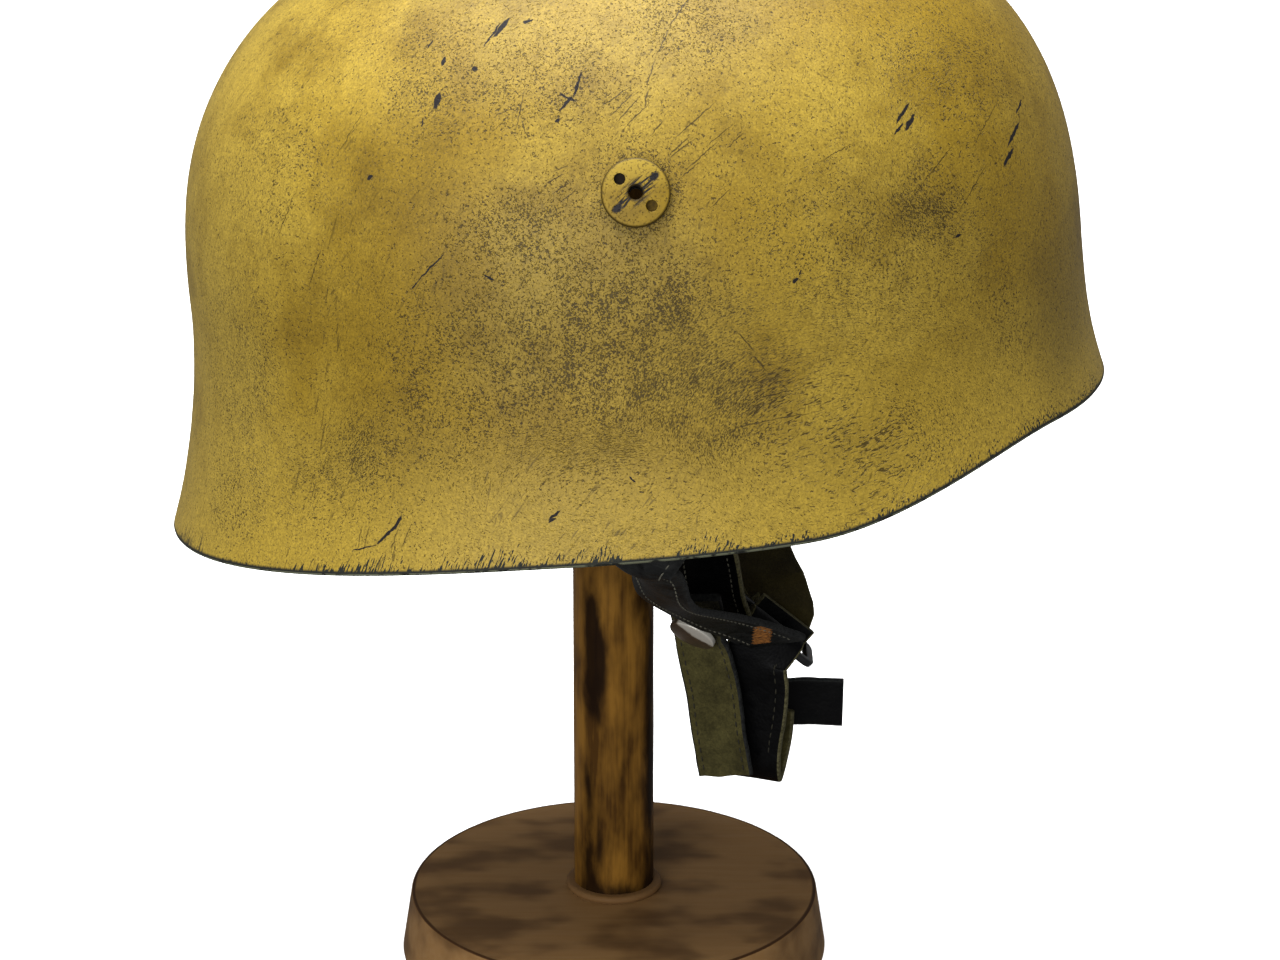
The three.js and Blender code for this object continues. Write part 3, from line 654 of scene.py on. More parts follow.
def lathe(profile, segments):
    """Rings of points turned about Z, one for each pair of radius and height in the profile."""
    turns = np.linspace(0, 2 * math.pi, segments, endpoint=False)
    radius, height = np.array(profile).T
    return np.stack([radius[:, None] * np.cos(turns), radius[:, None] * np.sin(turns),
                     np.repeat(height[:, None], segments, axis=1)], axis=-1)


def closed_lathe(profile, segments):
    """A turned ring: the profile closes on itself."""
    rings = lathe(profile, segments)
    return rings.reshape(-1, 3), grid_faces(len(rings), segments, closed=True)


def solid_lathe(profile, segments):
    """A turned solid whose profile's ends are closed by a point on the axis."""
    rings = lathe(profile, segments)
    ends = [(0, 0, profile[0][1]), (0, 0, profile[-1][1])]
    return np.vstack([rings.reshape(-1, 3), ends]), capped_faces(len(rings), segments)


def arc(centre, radius, start, end, steps):
    """Pairs of radius and height along a rounded edge of a profile; angles in degrees."""
    turns = np.radians(np.linspace(start, end, steps + 1))
    return [(centre[0] + radius * math.cos(t), centre[1] + radius * math.sin(t)) for t in turns]


def rod(name, radius, low, high, matrix, finish, segments=40):
    """A plain round cutter along the matrix's Z axis."""
    points, faces = solid_lathe([(radius, low), (radius, high)], segments)
    return make_mesh(name, moved(matrix, points), faces, [finish])


def place_piece(piece, node):
    """Lets a piece ride on the part and stand for its node."""
    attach(piece, "root")
    if node:
        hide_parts(node)


# Finishes


# Settings that many nodes share: Mix as a blend of two colours, Map Range as a soft step, Mapping that
# places, turns and stretches a pattern, Vector Math as the distance from the middle.
RGBA = {"out": 2, "data_type": "RGBA"}
SMOOTH = {"interpolation_type": "SMOOTHSTEP"}
PLACED = {"vector_type": "TEXTURE"}
DISTANCE = {"out": "Value", "operation": "LENGTH"}


def add_node(tree, kind, inputs=(), out=0, **settings):
    """Adds one shader node with its settings, values and links, and gives back one of its outputs."""
    made = tree.nodes.new("ShaderNode" + kind)
    for key, value in settings.items():
        setattr(made, key, value)
    for key, value in inputs.items() if isinstance(inputs, dict) else enumerate(inputs):
        if isinstance(value, bpy.types.NodeSocket):
            tree.links.new(value, made.inputs[key])
        else:
            made.inputs[key].default_value = value
    return made.outputs[out] if made.outputs else None


def per_mm(size):
    """Texture scale of a pattern whose features are size millimetres apart."""
    return 1 / (size * MM)


def wear_marks(add, plane, rows):
    """Distance to the nearest mark, where 1 is its outline: each mark is a sliver on the wear plane."""
    nearest = None
    for x, v, long, wide, degrees in rows:
        local = add("Mapping", {
            "Vector": plane, "Location": (x * MM, 0, v * MM), "Rotation": (0, -math.radians(degrees), 0),
            "Scale": (long * MM / 2, 1000, wide * MM / 2),
        }, **PLACED)
        away = add("VectorMath", [local], **DISTANCE)
        if nearest is None:
            nearest = away
        else:
            nearest = add("Math", [nearest, away], operation="MINIMUM")
    return nearest


def worn_ochre_paint(add, place, c):
    # Sand-coloured matt paint over pressed steel: soft sheen, blotchy tone, dirt rubbed into scuffs,
    # chips down to the dark steel, and a rim worn through in upward streaks.
    scuff, stain, rise, drawn = (
        add("Attribute", out="Fac", attribute_name=name) for name in ("scuff", "stain", "rise", "drawn")
    )

    broad = add("TexNoise", {"Vector": place, "Scale": per_mm(70), "Detail": 3.0})
    tone = add("MapRange", [broad, 0.36, 0.64], **SMOOTH)
    paint = add("Mix", {0: tone, 6: c.ochre, 7: c.ochre_pale_and_lit}, **RGBA)
    patch = add("TexNoise", {"Vector": place, "Scale": per_mm(24), "Detail": 5.0, "Roughness": 0.62})
    deep = add("MapRange", [patch, 0.47, 0.72, 0, 0.75])
    paint = add("Mix", {0: deep, 6: paint, 7: c.ochre_deep}, **RGBA)

    # Paler along the lowest 5 cm: a painted highlight where the flared wall turns up to the light.
    painted_low_light = add("MapRange", [rise, 52 * MM, 6 * MM, 0, 0.8], **SMOOTH)
    paint = add("Mix", {0: painted_low_light, 6: paint, 7: c.ochre_pale_and_lit}, **RGBA)

    # Mottle of about 2 mm that keeps the paint from looking sprayed even.
    mottle = add("TexNoise", {"Vector": place, "Scale": per_mm(2.2), "Detail": 5.0, "Roughness": 0.7})
    mottled = add("MapRange", [mottle, 0.34, 0.7, 0.86, 1.1])
    paint = add("Mix", {0: 1.0, 6: paint, 7: mottled}, **RGBA, blend_type="MULTIPLY")
    # Stains brown the paint; the narrow upright one at the front is painted shade.
    paint = add("Mix", {
        0: add("Math", [stain, 0.5], operation="MULTIPLY"), 6: paint, 7: c.ochre_dirty_and_shade,
    }, **RGBA)

    # Tooth of the sand paint, finer than 0.3 mm, drawn twice as coarse so that it shows.
    tooth = add("TexNoise", {"Vector": place, "Scale": per_mm(0.6), "Detail": 2.0, "Roughness": 0.6})
    toothed = add("MapRange", [tooth, 0.3, 0.7, 0.74, 1.2])
    paint = add("Mix", {0: 1.0, 6: paint, 7: toothed}, **RGBA, blend_type="MULTIPLY")

    # Dirt in the pores of the paint: curled flecks about 0.6 mm across, drawn out along the wall
    # where it was rubbed, thick in the scuffed patches and faint elsewhere.
    drawn_place = add("Mapping", {
        "Vector": place, "Rotation": (0, -0.2, 0), "Scale": (3.3, 3.3, 1),
    }, **PLACED)
    fleck_place = add("Mix", {0: drawn, 4: place, 5: drawn_place}, out=1, data_type="VECTOR")
    fleck = add("TexNoise", {
        "Vector": fleck_place, "Scale": per_mm(0.64), "Detail": 1.5, "Roughness": 0.5, "Distortion": 1.0,
    })
    crowd = add("TexNoise", {"Vector": place, "Scale": per_mm(8), "Detail": 4.0, "Roughness": 0.65})
    crowd = add("MapRange", [crowd, 0.28, 0.72, 0.3, 1.3])
    worn = add("Math", [scuff, crowd], operation="MULTIPLY")
    lifted = add("Math", [worn, 0.16, fleck], operation="MULTIPLY_ADD")
    flecks = add("MapRange", [lifted, 0.63, 0.73])
    haze = add("Math", [worn, 0.07], operation="MULTIPLY")
    paint = add("Mix", {0: haze, 6: paint, 7: c.ochre_dirty_and_shade}, **RGBA)
    dirt = add("Math", [flecks, 0.82], operation="MULTIPLY")
    paint = add("Mix", {0: dirt, 6: paint, 7: c.grime}, **RGBA)

    # Hair scratches in two directions, fourteen times as long as wide, drawn about 0.5 mm wide so that
    # they show.
    for turned, shift in ((0.62, 0.0), (0.2, 0.7)):
        hair_place = add("Mapping", {
            "Vector": place, "Rotation": (0, turned, 0), "Location": (shift, 0, 0), "Scale": (1, 1, 14),
        }, **PLACED)
        hair = add("TexNoise", {"Vector": hair_place, "Scale": per_mm(0.9), "Detail": 1.0})
        where = add("TexNoise", {"Vector": hair_place, "Scale": per_mm(14), "Detail": 2.0})
        shown = add("MapRange", [where, 0.44, 0.64, 0, 0.55])
        line = add("MapRange", [hair, 0.64, 0.72])
        line = add("Math", [line, shown], operation="MULTIPLY")
        paint = add("Mix", {0: line, 6: paint, 7: c.scratch}, **RGBA)

    # Chips and scratches placed as on the wearer's right side, with ragged outlines. The left side,
    # which is not known, wears the same marks turned front to back.
    side = add("SeparateXYZ", [place], out="Y")
    left = add("Math", [side, 0.0], operation="GREATER_THAN")
    turned = add("Mapping", {"Vector": place, "Scale": (-1, -1, 1), "Location": (12 * MM, 0, 0)})
    marked = add("Mix", {0: left, 4: place, 5: turned}, out=1, data_type="VECTOR")
    ragged = add("TexNoise", {"Vector": place, "Scale": per_mm(1.6), "Detail": 2.0}, out="Color")
    ragged = add("VectorMath", [ragged, (0.5, 0.5, 0.5)], operation="SUBTRACT")
    plane = add("Mapping", {"Vector": marked, "Rotation": (WEAR_LEAN, 0, 0)})
    plane = add("VectorMath", [ragged, (1.1 * MM,) * 3, plane], operation="MULTIPLY_ADD")
    scratch = wear_marks(add, plane, SCRATCHES)
    scratch = add("MapRange", [scratch, 1.15, 0.5, 0, 0.8], **SMOOTH)
    paint = add("Mix", {0: scratch, 6: paint, 7: c.scratch}, **RGBA)
    chip = wear_marks(add, plane, CHIPS)
    chip = add("MapRange", [chip, 1.1, 0.75], **SMOOTH)
    paint = add("Mix", {0: chip, 6: paint, 7: c.chip}, **RGBA)

    # Rim worn through in streaks about 0.5 mm apart that lean forwards and run up to 20 mm high.
    streak_place = add("Mapping", {"Vector": place, "Rotation": (0, 0.3, 0), "Scale": (1, 1, 20)}, **PLACED)
    streak = add("TexNoise", {"Vector": streak_place, "Scale": per_mm(0.5), "Detail": 2.0})
    streak = add("MapRange", [streak, 0.52, 0.84])
    tall = add("TexNoise", {"Vector": streak_place, "Scale": per_mm(22), "Detail": 2.0})
    tall = add("MapRange", [tall, 0.42, 0.68, 0.8 * MM, 20.0 * MM])
    reach = add("Math", [streak, tall, 0.9 * MM], operation="MULTIPLY_ADD")
    left_over = add("Math", [reach, rise], operation="SUBTRACT")
    rim = add("MapRange", [left_over, -0.1 * MM, 0.5 * MM])
    paint = add("Mix", {0: rim, 6: paint, 7: c.rim}, **RGBA)

    # The relief leaves out the placed marks, because the shader would have to work each of them out
    # three times.
    bare = add("Math", [chip, rim], operation="MAXIMUM")
    worn_in = add("Math", [flecks, 0.35, bare], operation="MULTIPLY_ADD")
    relief = add("Math", [mottle, flecks], operation="SUBTRACT")
    bump = add("Bump", {"Height": relief, "Distance": 0.16 * MM, "Strength": 0.7})
    rough = add("MapRange", [worn_in, 0, 1, 0.47, 0.66])
    return {"Base Color": paint, "Roughness": rough, "Normal": bump, "Specular IOR Level": 0.32}


def rubbed_steel_edge(add, place, c):
    # Steel edge rubbed free of paint: a thin, pale, slightly green-grey line with darker nicks.
    nick = add("TexNoise", {"Vector": place, "Scale": per_mm(3), "Detail": 4.0})
    nick = add("MapRange", [nick, 0.5, 0.62])
    edge = add("Mix", {0: nick, 6: c.bare_edge, 7: c.rim}, **RGBA)
    bump = add("Bump", {"Height": nick, "Distance": 0.1 * MM, "Strength": 0.5})
    return {"Base Color": edge, "Metallic": 0.5, "Roughness": 0.5, "Normal": bump}


def dull_inner_paint(add, place, c):
    # Dull primer-like paint inside the shell, with faint rust-brown blotches.
    blotch = add("TexNoise", {"Vector": place, "Scale": per_mm(18), "Detail": 6.0})
    blotch = add("MapRange", [blotch, 0.42, 0.7, 0, 0.6])
    paint = add("Mix", {0: blotch, 6: c.inside, 7: c.grime}, **RGBA)
    grit = add("TexNoise", {"Vector": place, "Scale": per_mm(0.9), "Detail": 3.0})
    bump = add("Bump", {"Height": grit, "Distance": 0.1 * MM, "Strength": 0.5})
    return {"Base Color": paint, "Roughness": 0.7, "Normal": bump}


def scratched_bolt_paint(add, place, c):
    # The shell's paint brushed over a bolt head, scored by a tool across its middle.
    flat = add("UVMap", uv_map="Flat")
    patch = add("TexNoise", {"Vector": place, "Scale": per_mm(4), "Detail": 5.0})
    patch = add("MapRange", [patch, 0.36, 0.66, 0, 0.35])
    paint = add("Mix", {0: patch, 6: c.ochre, 7: c.ochre_dirty_and_shade}, **RGBA)
    # Painted highlight: the upper half of the head is made paler, where it faces the light.
    up = add("SeparateXYZ", [flat], out="Y")
    high = add("MapRange", [up, 0, 8 * MM])
    paint = add("Mix", {0: high, 6: paint, 7: c.ochre_pale_and_lit}, **RGBA)
    speck = add("TexNoise", {"Vector": place, "Scale": per_mm(0.6), "Detail": 3.0})
    speck = add("MapRange", [speck, 0.54, 0.7, 0, 0.75])
    paint = add("Mix", {0: speck, 6: paint, 7: c.grime}, **RGBA)
    # Tool marks about 0.4 mm wide, along a line from low at the back to high at the front.
    slope = (0, 0, math.radians(36))
    scored = add("Mapping", {"Vector": flat, "Rotation": slope, "Scale": (9, 1, 1)}, **PLACED)
    score = add("TexNoise", {"Vector": scored, "Scale": per_mm(0.8), "Detail": 1.0})
    score = add("MapRange", [score, 0.46, 0.52])
    band = add("Mapping", {"Vector": flat, "Rotation": slope, "Scale": (7.2 * MM, 3.3 * MM, 1)}, **PLACED)
    band = add("VectorMath", [band], **DISTANCE)
    band = add("MapRange", [band, 1.1, 0.7])
    score = add("Math", [score, band], operation="MULTIPLY")
    # The tool slipped and gouged the paint at both ends of that line.
    for end in (1, -1):
        gouge = add("Mapping", {
            "Vector": flat, "Location": (end * 5.2 * MM, end * 3.7 * MM, 0), "Rotation": slope,
            "Scale": (1.9 * MM, 1.2 * MM, 1),
        }, **PLACED)
        gouge = add("VectorMath", [gouge], **DISTANCE)
        gouge = add("Math", [speck, -0.5, gouge], operation="MULTIPLY_ADD")
        gouge = add("MapRange", [gouge, 1.0, 0.6])
        score = add("Math", [score, gouge], operation="MAXIMUM")
    paint = add("Mix", {0: score, 6: paint, 7: c.chip}, **RGBA)
    away = add("VectorMath", [flat], **DISTANCE)
    hub = add("MapRange", [away, 2.7 * MM, 2.1 * MM, 0, 0.85])
    skirt = add("MapRange", [away, 8.5 * MM, 9.0 * MM, 0, 0.85])
    dark = add("Math", [hub, skirt], operation="MAXIMUM")
    paint = add("Mix", {0: dark, 6: paint, 7: c.grime}, **RGBA)
    relief = add("Math", [speck, score], operation="ADD")
    bump = add("Bump", {"Height": relief, "Distance": 0.12 * MM, "Strength": 0.7}, invert=True)
    return {"Base Color": paint, "Roughness": 0.5, "Normal": bump, "Specular IOR Level": 0.25}


def caked_hole(add, place, pale, dark):
    # Dirt and old paint packed into a hole: dark, quite rough.
    caked = add("TexNoise", {"Vector": place, "Scale": per_mm(0.7), "Detail": 3.0})
    dirt = add("Mix", {0: caked, 6: pale, 7: dark}, **RGBA)
    return {"Base Color": dirt, "Roughness": 0.9}


def dirty_hole(add, place, c):
    return caked_hole(add, place, c.scorch, c.grime)


def painted_over_hole(add, place, c):
    return caked_hole(add, place, c.ochre_deep, c.grime)


def black_grain_leather(add, place, c):
    # Dyed full-grain cowhide: near black, pebbled at about 1 mm, rubbed grey on its high spots.
    pebble = add("TexVoronoi", {
        "Vector": place, "Scale": per_mm(0.9), "Randomness": 1.0,
    }, out="Distance", feature="F1")
    crease = add("TexNoise", {
        "Vector": place, "Scale": per_mm(4), "Detail": 5.0, "Roughness": 0.65, "Distortion": 0.6,
    })
    rubbed = add("MapRange", [crease, 0.34, 0.7, 0.1])
    handled = add("Attribute", out="Fac", attribute_name="handled")
    rubbed = add("Math", [rubbed, handled], operation="MULTIPLY")
    skin = add("Mix", {0: rubbed, 6: c.black, 7: c.black_worn}, **RGBA)
    relief = add("Math", [pebble, -0.5, crease], operation="MULTIPLY_ADD")
    bump = add("Bump", {"Height": relief, "Distance": 0.25 * MM, "Strength": 0.6})
    rough = add("MapRange", [crease, 0.3, 0.7, 0.42, 0.62])
    return {"Base Color": skin, "Roughness": rough, "Normal": bump, "Specular IOR Level": 0.1}


def olive_suede(add, place, c):
    # Flesh side of the leather, dyed olive: a matt, fuzzy nap with brushed darker patches.
    brushed = add("TexNoise", {"Vector": place, "Scale": per_mm(7), "Detail": 4.0, "Roughness": 0.6})
    brushed = add("MapRange", [brushed, 0.36, 0.7, 0, 0.8])
    nap = add("TexNoise", {
        "Vector": place, "Scale": per_mm(0.8), "Detail": 4.0, "Roughness": 0.75, "Distortion": 0.8,
    })
    fuzz = add("MapRange", [nap, 0.32, 0.72, 0.55, 1.3])
    hide = add("Mix", {0: brushed, 6: c.suede, 7: c.suede_dark}, **RGBA)
    hide = add("Mix", {0: 1.0, 6: hide, 7: fuzz}, **RGBA, blend_type="MULTIPLY")
    # Painted shade: the suede of a strap that hangs deep in shade is darkened towards grime.
    painted_shade = add("Attribute", out="Fac", attribute_name="painted_shade")
    hide = add("Mix", {0: painted_shade, 6: hide, 7: c.grime}, **RGBA)
    bump = add("Bump", {"Height": nap, "Distance": 0.35 * MM, "Strength": 0.8})
    return {
        "Base Color": hide, "Roughness": 0.95, "Normal": bump, "Specular IOR Level": 0.06,
        "Sheen Weight": 0.05, "Sheen Roughness": 0.6,
    }


def cut_leather(add, place, pale, dark):
    # Cut edge of a hide: a fibrous, matt section, darker where it is handled.
    fibre = add("TexNoise", {"Vector": place, "Scale": per_mm(1.1), "Detail": 5.0, "Roughness": 0.7})
    share = add("MapRange", [fibre, 0.4, 0.66])
    hide = add("Mix", {0: share, 6: pale, 7: dark}, **RGBA)
    bump = add("Bump", {"Height": fibre, "Distance": 0.25 * MM, "Strength": 0.7})
    return {"Base Color": hide, "Roughness": 0.85, "Normal": bump, "Specular IOR Level": 0.25}


def raw_leather_edge(add, place, c):
    return cut_leather(add, place, c.raw_edge, c.suede_dark)


def dyed_leather_edge(add, place, c):
    return cut_leather(add, place, c.black_worn, c.black)


def tan_leather_end(add, place, c):
    return cut_leather(add, place, c.tan, c.scorch)


def waxed_thread(add, place, thread):
    # Waxed linen thread: matt, twisted, a little uneven in tone from stitch to stitch.
    twist = add("TexNoise", {"Vector": place, "Scale": per_mm(0.5), "Detail": 2.0})
    uneven = add("TexNoise", {"Vector": place, "Scale": per_mm(6), "Detail": 2.0})
    shade = add("Math", [twist, uneven], operation="MULTIPLY")
    shade = add("MapRange", [shade, 0.12, 0.36, 0.35, 1.15])
    strand = add("Mix", {0: 1.0, 6: thread, 7: shade}, **RGBA, blend_type="MULTIPLY")
    bump = add("Bump", {"Height": twist, "Distance": 0.15 * MM, "Strength": 0.6})
    return {"Base Color": strand, "Roughness": 0.7, "Normal": bump}


def pale_waxed_thread(add, place, c):
    return waxed_thread(add, place, c.thread_pale)


def olive_waxed_thread(add, place, c):
    return waxed_thread(add, place, c.thread_olive)


def black_lacquered_brass(add, place, c):
    # Stamped frame in black lacquer: glossy, worn to a copper gleam in a few rubbed spots.
    rub = add("TexNoise", {"Vector": place, "Scale": per_mm(4), "Detail": 4.0, "Roughness": 0.6})
    bare = add("MapRange", [rub, 0.66, 0.7])
    coat = add("Mix", {0: bare, 6: c.lacquer, 7: c.copper}, **RGBA)
    rough = add("MapRange", [rub, 0.3, 0.7, 0.22, 0.42])
    bump = add("Bump", {"Height": rub, "Distance": 0.1 * MM, "Strength": 0.4})
    return {"Base Color": coat, "Metallic": bare, "Roughness": rough, "Normal": bump}


def nickel_with_painted_light_and_shade(add, place, c):
    # Nickel-plated cap: a painted white highlight on its upper half and painted brown shade on its lower
    # half.
    flat = add("UVMap", uv_map="Flat")
    up = add("VectorMath", [flat, (0.55, 0.83, 0)], out="Value", operation="DOT_PRODUCT")
    film = add("TexNoise", {"Vector": place, "Scale": per_mm(3), "Detail": 4.0})
    ragged = add("Math", [film, 3 * MM, up], operation="MULTIPLY_ADD")
    low = add("MapRange", [ragged, 4.6 * MM, 3.4 * MM], **SMOOTH)
    metal = add("Mix", {0: low, 6: c.nickel, 7: c.tarnish}, **RGBA)
    rough = add("MapRange", [low, 0, 1, 0.3, 0.42])
    # The upper part is made less metallic so that it looks white from any side: a painted highlight.
    metallic_for_painted_white = add("MapRange", [low, 0, 1, 0.3, 1.0])
    scuffed = add("TexNoise", {"Vector": place, "Scale": per_mm(0.6), "Detail": 3.0})
    bump = add("Bump", {"Height": scuffed, "Distance": 0.04 * MM, "Strength": 0.4})
    return {"Base Color": metal, "Metallic": metallic_for_painted_white, "Roughness": rough, "Normal": bump}


def plain_steel(add, place, c):
    # Turned mild steel nut: dull grey with brown bloom.
    bloom = add("TexNoise", {"Vector": place, "Scale": per_mm(3), "Detail": 4.0})
    bloom = add("MapRange", [bloom, 0.45, 0.7, 0, 0.7])
    metal = add("Mix", {0: bloom, 6: c.steel, 7: c.tarnish}, **RGBA)
    rough = add("MapRange", [bloom, 0, 1, 0.35, 0.6])
    return {"Base Color": metal, "Metallic": 1.0, "Roughness": rough}


def scorched_pine(add, place, c):
    # Turned pine, flame-scorched along its grain and waxed: warm gold between dark burnt streaks, with
    # painted shade down the post's sides.
    grain_place = add("Mapping", {"Vector": place, "Scale": (1, 1, 0.045)})
    grain = add("TexNoise", {"Vector": grain_place, "Scale": per_mm(1.6), "Detail": 4.0, "Roughness": 0.6})
    blotch_place = add("Mapping", {"Vector": place, "Scale": (1, 1, 0.35)})
    blotch = add("TexNoise", {"Vector": blotch_place, "Scale": per_mm(7), "Detail": 3.0})
    pores = add("Math", [grain, 0.5, blotch], operation="MULTIPLY_ADD")
    pores = add("MapRange", [pores, 0.6, 0.9])
    wood = add("Mix", {0: pores, 6: c.pine, 7: c.pine_pale}, **RGBA)
    burn_place = add("Mapping", {"Vector": place, "Scale": (1, 1, 0.28), "Location": (0.01, 0.02, 0)})
    burn = add("TexNoise", {
        "Vector": burn_place, "Scale": per_mm(6), "Detail": 4.0, "Roughness": 0.55, "Distortion": 0.3,
    })
    # This per-point mark carries both the scorch and the painted shade on the post's sides.
    edged = add("Attribute", out="Fac", attribute_name="burn_and_shade")
    burn = add("Math", [burn, 1.35, edged], operation="MULTIPLY_ADD")
    burn = add("Math", [grain, 0.4, burn], operation="MULTIPLY_ADD")
    burn_and_shade = add("MapRange", [burn, 0.66, 1.3, 0, 0.95], **SMOOTH)
    wood = add("Mix", {0: burn_and_shade, 6: wood, 7: c.scorch}, **RGBA)
    bump = add("Bump", {"Height": grain, "Distance": 0.2 * MM, "Strength": 0.5})
    rough = add("MapRange", [burn_and_shade, 0, 1, 0.42, 0.6])
    return {"Base Color": wood, "Roughness": rough, "Normal": bump, "Specular IOR Level": 0.08}


def smudged_wood_stain(add, place, c):
    # Softwood disc wiped with brown stain: dull, with blurred darker smudges along its grain.
    grain_place = add("Mapping", {"Vector": place, "Scale": (0.08, 1, 1)})
    grain = add("TexNoise", {"Vector": grain_place, "Scale": per_mm(1.8), "Detail": 4.0})
    wiped = add("MapRange", [grain, 0.35, 0.68, 0, 0.45])
    wood = add("Mix", {0: wiped, 6: c.stain, 7: c.stain_pale}, **RGBA)
    smudge_place = add("Mapping", {"Vector": place, "Scale": (0.6, 1, 1)})
    smudge = add("TexNoise", {"Vector": smudge_place, "Scale": per_mm(17), "Detail": 2.5})
    smudge = add("MapRange", [smudge, 0.42, 0.66, 0, 0.66], **SMOOTH)
    lined = add("Attribute", out="Fac", attribute_name="lined")
    smudge = add("Math", [smudge, lined], operation="MAXIMUM")
    wood = add("Mix", {0: smudge, 6: wood, 7: c.stain_dark}, **RGBA)
    bump = add("Bump", {"Height": grain, "Distance": 0.08 * MM, "Strength": 0.4})
    return {"Base Color": wood, "Roughness": 0.62, "Normal": bump, "Specular IOR Level": 0.14}


def white_floor_paper(add, place, c):
    # Matt white paper sweep with the faintest tooth.
    tooth = add("TexNoise", {"Vector": place, "Scale": per_mm(2), "Detail": 2.0})
    bump = add("Bump", {"Height": tooth, "Distance": 0.02 * MM, "Strength": 0.2})
    return {"Base Color": c.floor, "Roughness": 0.9, "Normal": bump, "Specular IOR Level": 0.1}


def finishes_for(scene, *makers):
    """The finishes that functions lay out, each made once under the function's own name.

    A function gets a way to add nodes, the place on the object and the colours, and gives back
    the values and links of its surface.
    """
    finishes = []
    for maker in makers:
        name = maker.__name__.replace("_", " ")
        finish = bpy.data.materials.get(name)
        if finish is None:
            finish = bpy.data.materials.new(name)
            finish.use_nodes = True
            finish.node_tree.nodes.clear()
            add = partial(add_node, finish.node_tree)
            surface = add("BsdfPrincipled", maker(add, add("TexCoord", out="Object"), scene.helmet_finishes))
            add("OutputMaterial", {"Surface": surface})
        finishes.append(finish)
    return finishes


# Operators


class HELMET_OT_shell(bpy.types.Operator):
    """Builds the pressed steel shell with its worn paint"""

    bl_idname = "helmet.shell"
    bl_label = "Steel shell"

    def execute(self, context):
        scene = context.scene
        sizes = scene.helmet_shell
        form = ShellForm(sizes)
        columns, dome_rows, wall_rows = 288, 108, 46
        inner_dome_rows, inner_wall_rows = 34, 14
        angles = np.linspace(0, 2 * math.pi, columns, endpoint=False)
        outer_heights = form.heights(angles, dome_rows, wall_rows)
        outer = form.point(angles[None, :], outer_heights)
        outward = form.normal(angles[None, :], outer_heights)
        flat_rows = outer.reshape(-1, 3)
        ripple = wander(flat_rows, 34 * MM, 1) + 0.4 * wander(flat_rows, 11 * MM, 2)
        outer = outer + outward * (sizes.ripple * ripple).reshape(outer.shape[:2] + (1,))
        edge_out, edge_way = outer[-1], outward[-1]
        middle = edge_out - edge_way * sizes.thickness / 2
        down = np.array([0, 0, -1.0])
        lip = [middle + sizes.thickness / 2 * (edge_way * math.cos(t) + down * math.sin(t))
               for t in np.linspace(0, math.pi, 7)[1:-1]]
        inner_heights = form.heights(angles, inner_dome_rows, inner_wall_rows)
        inner = form.point(angles[None, :], inner_heights)
        inner = inner - form.normal(angles[None, :], inner_heights) * sizes.thickness
        rows = np.concatenate([outer, lip, inner[::-1]])
        pole = (0, 0, sizes.crown_height)
        inner_pole = (0, 0, sizes.crown_height - sizes.thickness)
        points = moved(form.seat(), np.vstack([rows.reshape(-1, 3), pole, inner_pole]))
        faces = capped_faces(len(rows), columns)
        paint_rows, lip_rows = len(outer) - 1, len(lip) + 1
        row_finish = [0] * paint_rows + [1] * lip_rows + [2] * (len(rows) - 1 - paint_rows - lip_rows)
        face_finish = list(np.repeat(row_finish, columns)) + [0] * columns + [2] * columns
        rise = np.full(len(points), 1.0)
        rise[:outer_heights.size] = (outer_heights - form.rim_height(angles)[None, :]).ravel()
        rise[outer_heights.size:outer_heights.size + columns * len(lip)] = 0
        near = points[:, 1] < 0
        everywhere = 0.5 + 0.5 * wander(points, 42 * MM, 5)
        far_scuff = np.clip(everywhere - 0.35, 0, 1) * 1.1
        scuff = np.where(near, patches(SCUFFS, points), 0)
        side_share = smoothstep(points[:, 1], -20 * MM, 15 * MM)
        scuff = scuff * (1 - side_share) + far_scuff * side_share + 0.2
        fasteners = scene.helmet_fasteners
        ring_radius, ring_width = 10.4 * MM, 1.5 * MM
        for side in (1, -1):
            # Dirt gathers in a ring round each bolt head.
            from_bolt = moved(form.bolt_place(side, fasteners).inverted(), points)
            away = np.hypot(from_bolt[:, 0], from_bolt[:, 1])
            ring = np.exp(-((away - ring_radius) / ring_width) ** 2)
            scuff = scuff + 0.35 * ring * (np.abs(from_bolt[:, 2]) < 10 * MM)
        # The stain values also carry painted shade in a narrow upright band at the front.
        stain = np.where(near, patches(STAINS_AND_SHADE, points), 0) + 0.25 * far_scuff * side_share
        finishes = finishes_for(scene, worn_ochre_paint, rubbed_steel_edge, dull_inner_paint)
        drawn = np.where(near, patches(RUBBED, points), 0) + 0.4 * side_share
        piece = make_mesh("steel_shell", points, faces, finishes, face_finish,
                          values={"scuff": scuff, "stain": stain, "rise": rise, "drawn": drawn}, crease=60)
        hole_radius = fasteners.shank_radius + fasteners.gap
        tools = [rod("hole", hole_radius, -fasteners.shank_length, fasteners.head_height,
                     form.bolt_place(side, fasteners), finishes[2]) for side in (1, -1)]
        place_piece(cut(piece, tools), "shell")
        return {"FINISHED"}


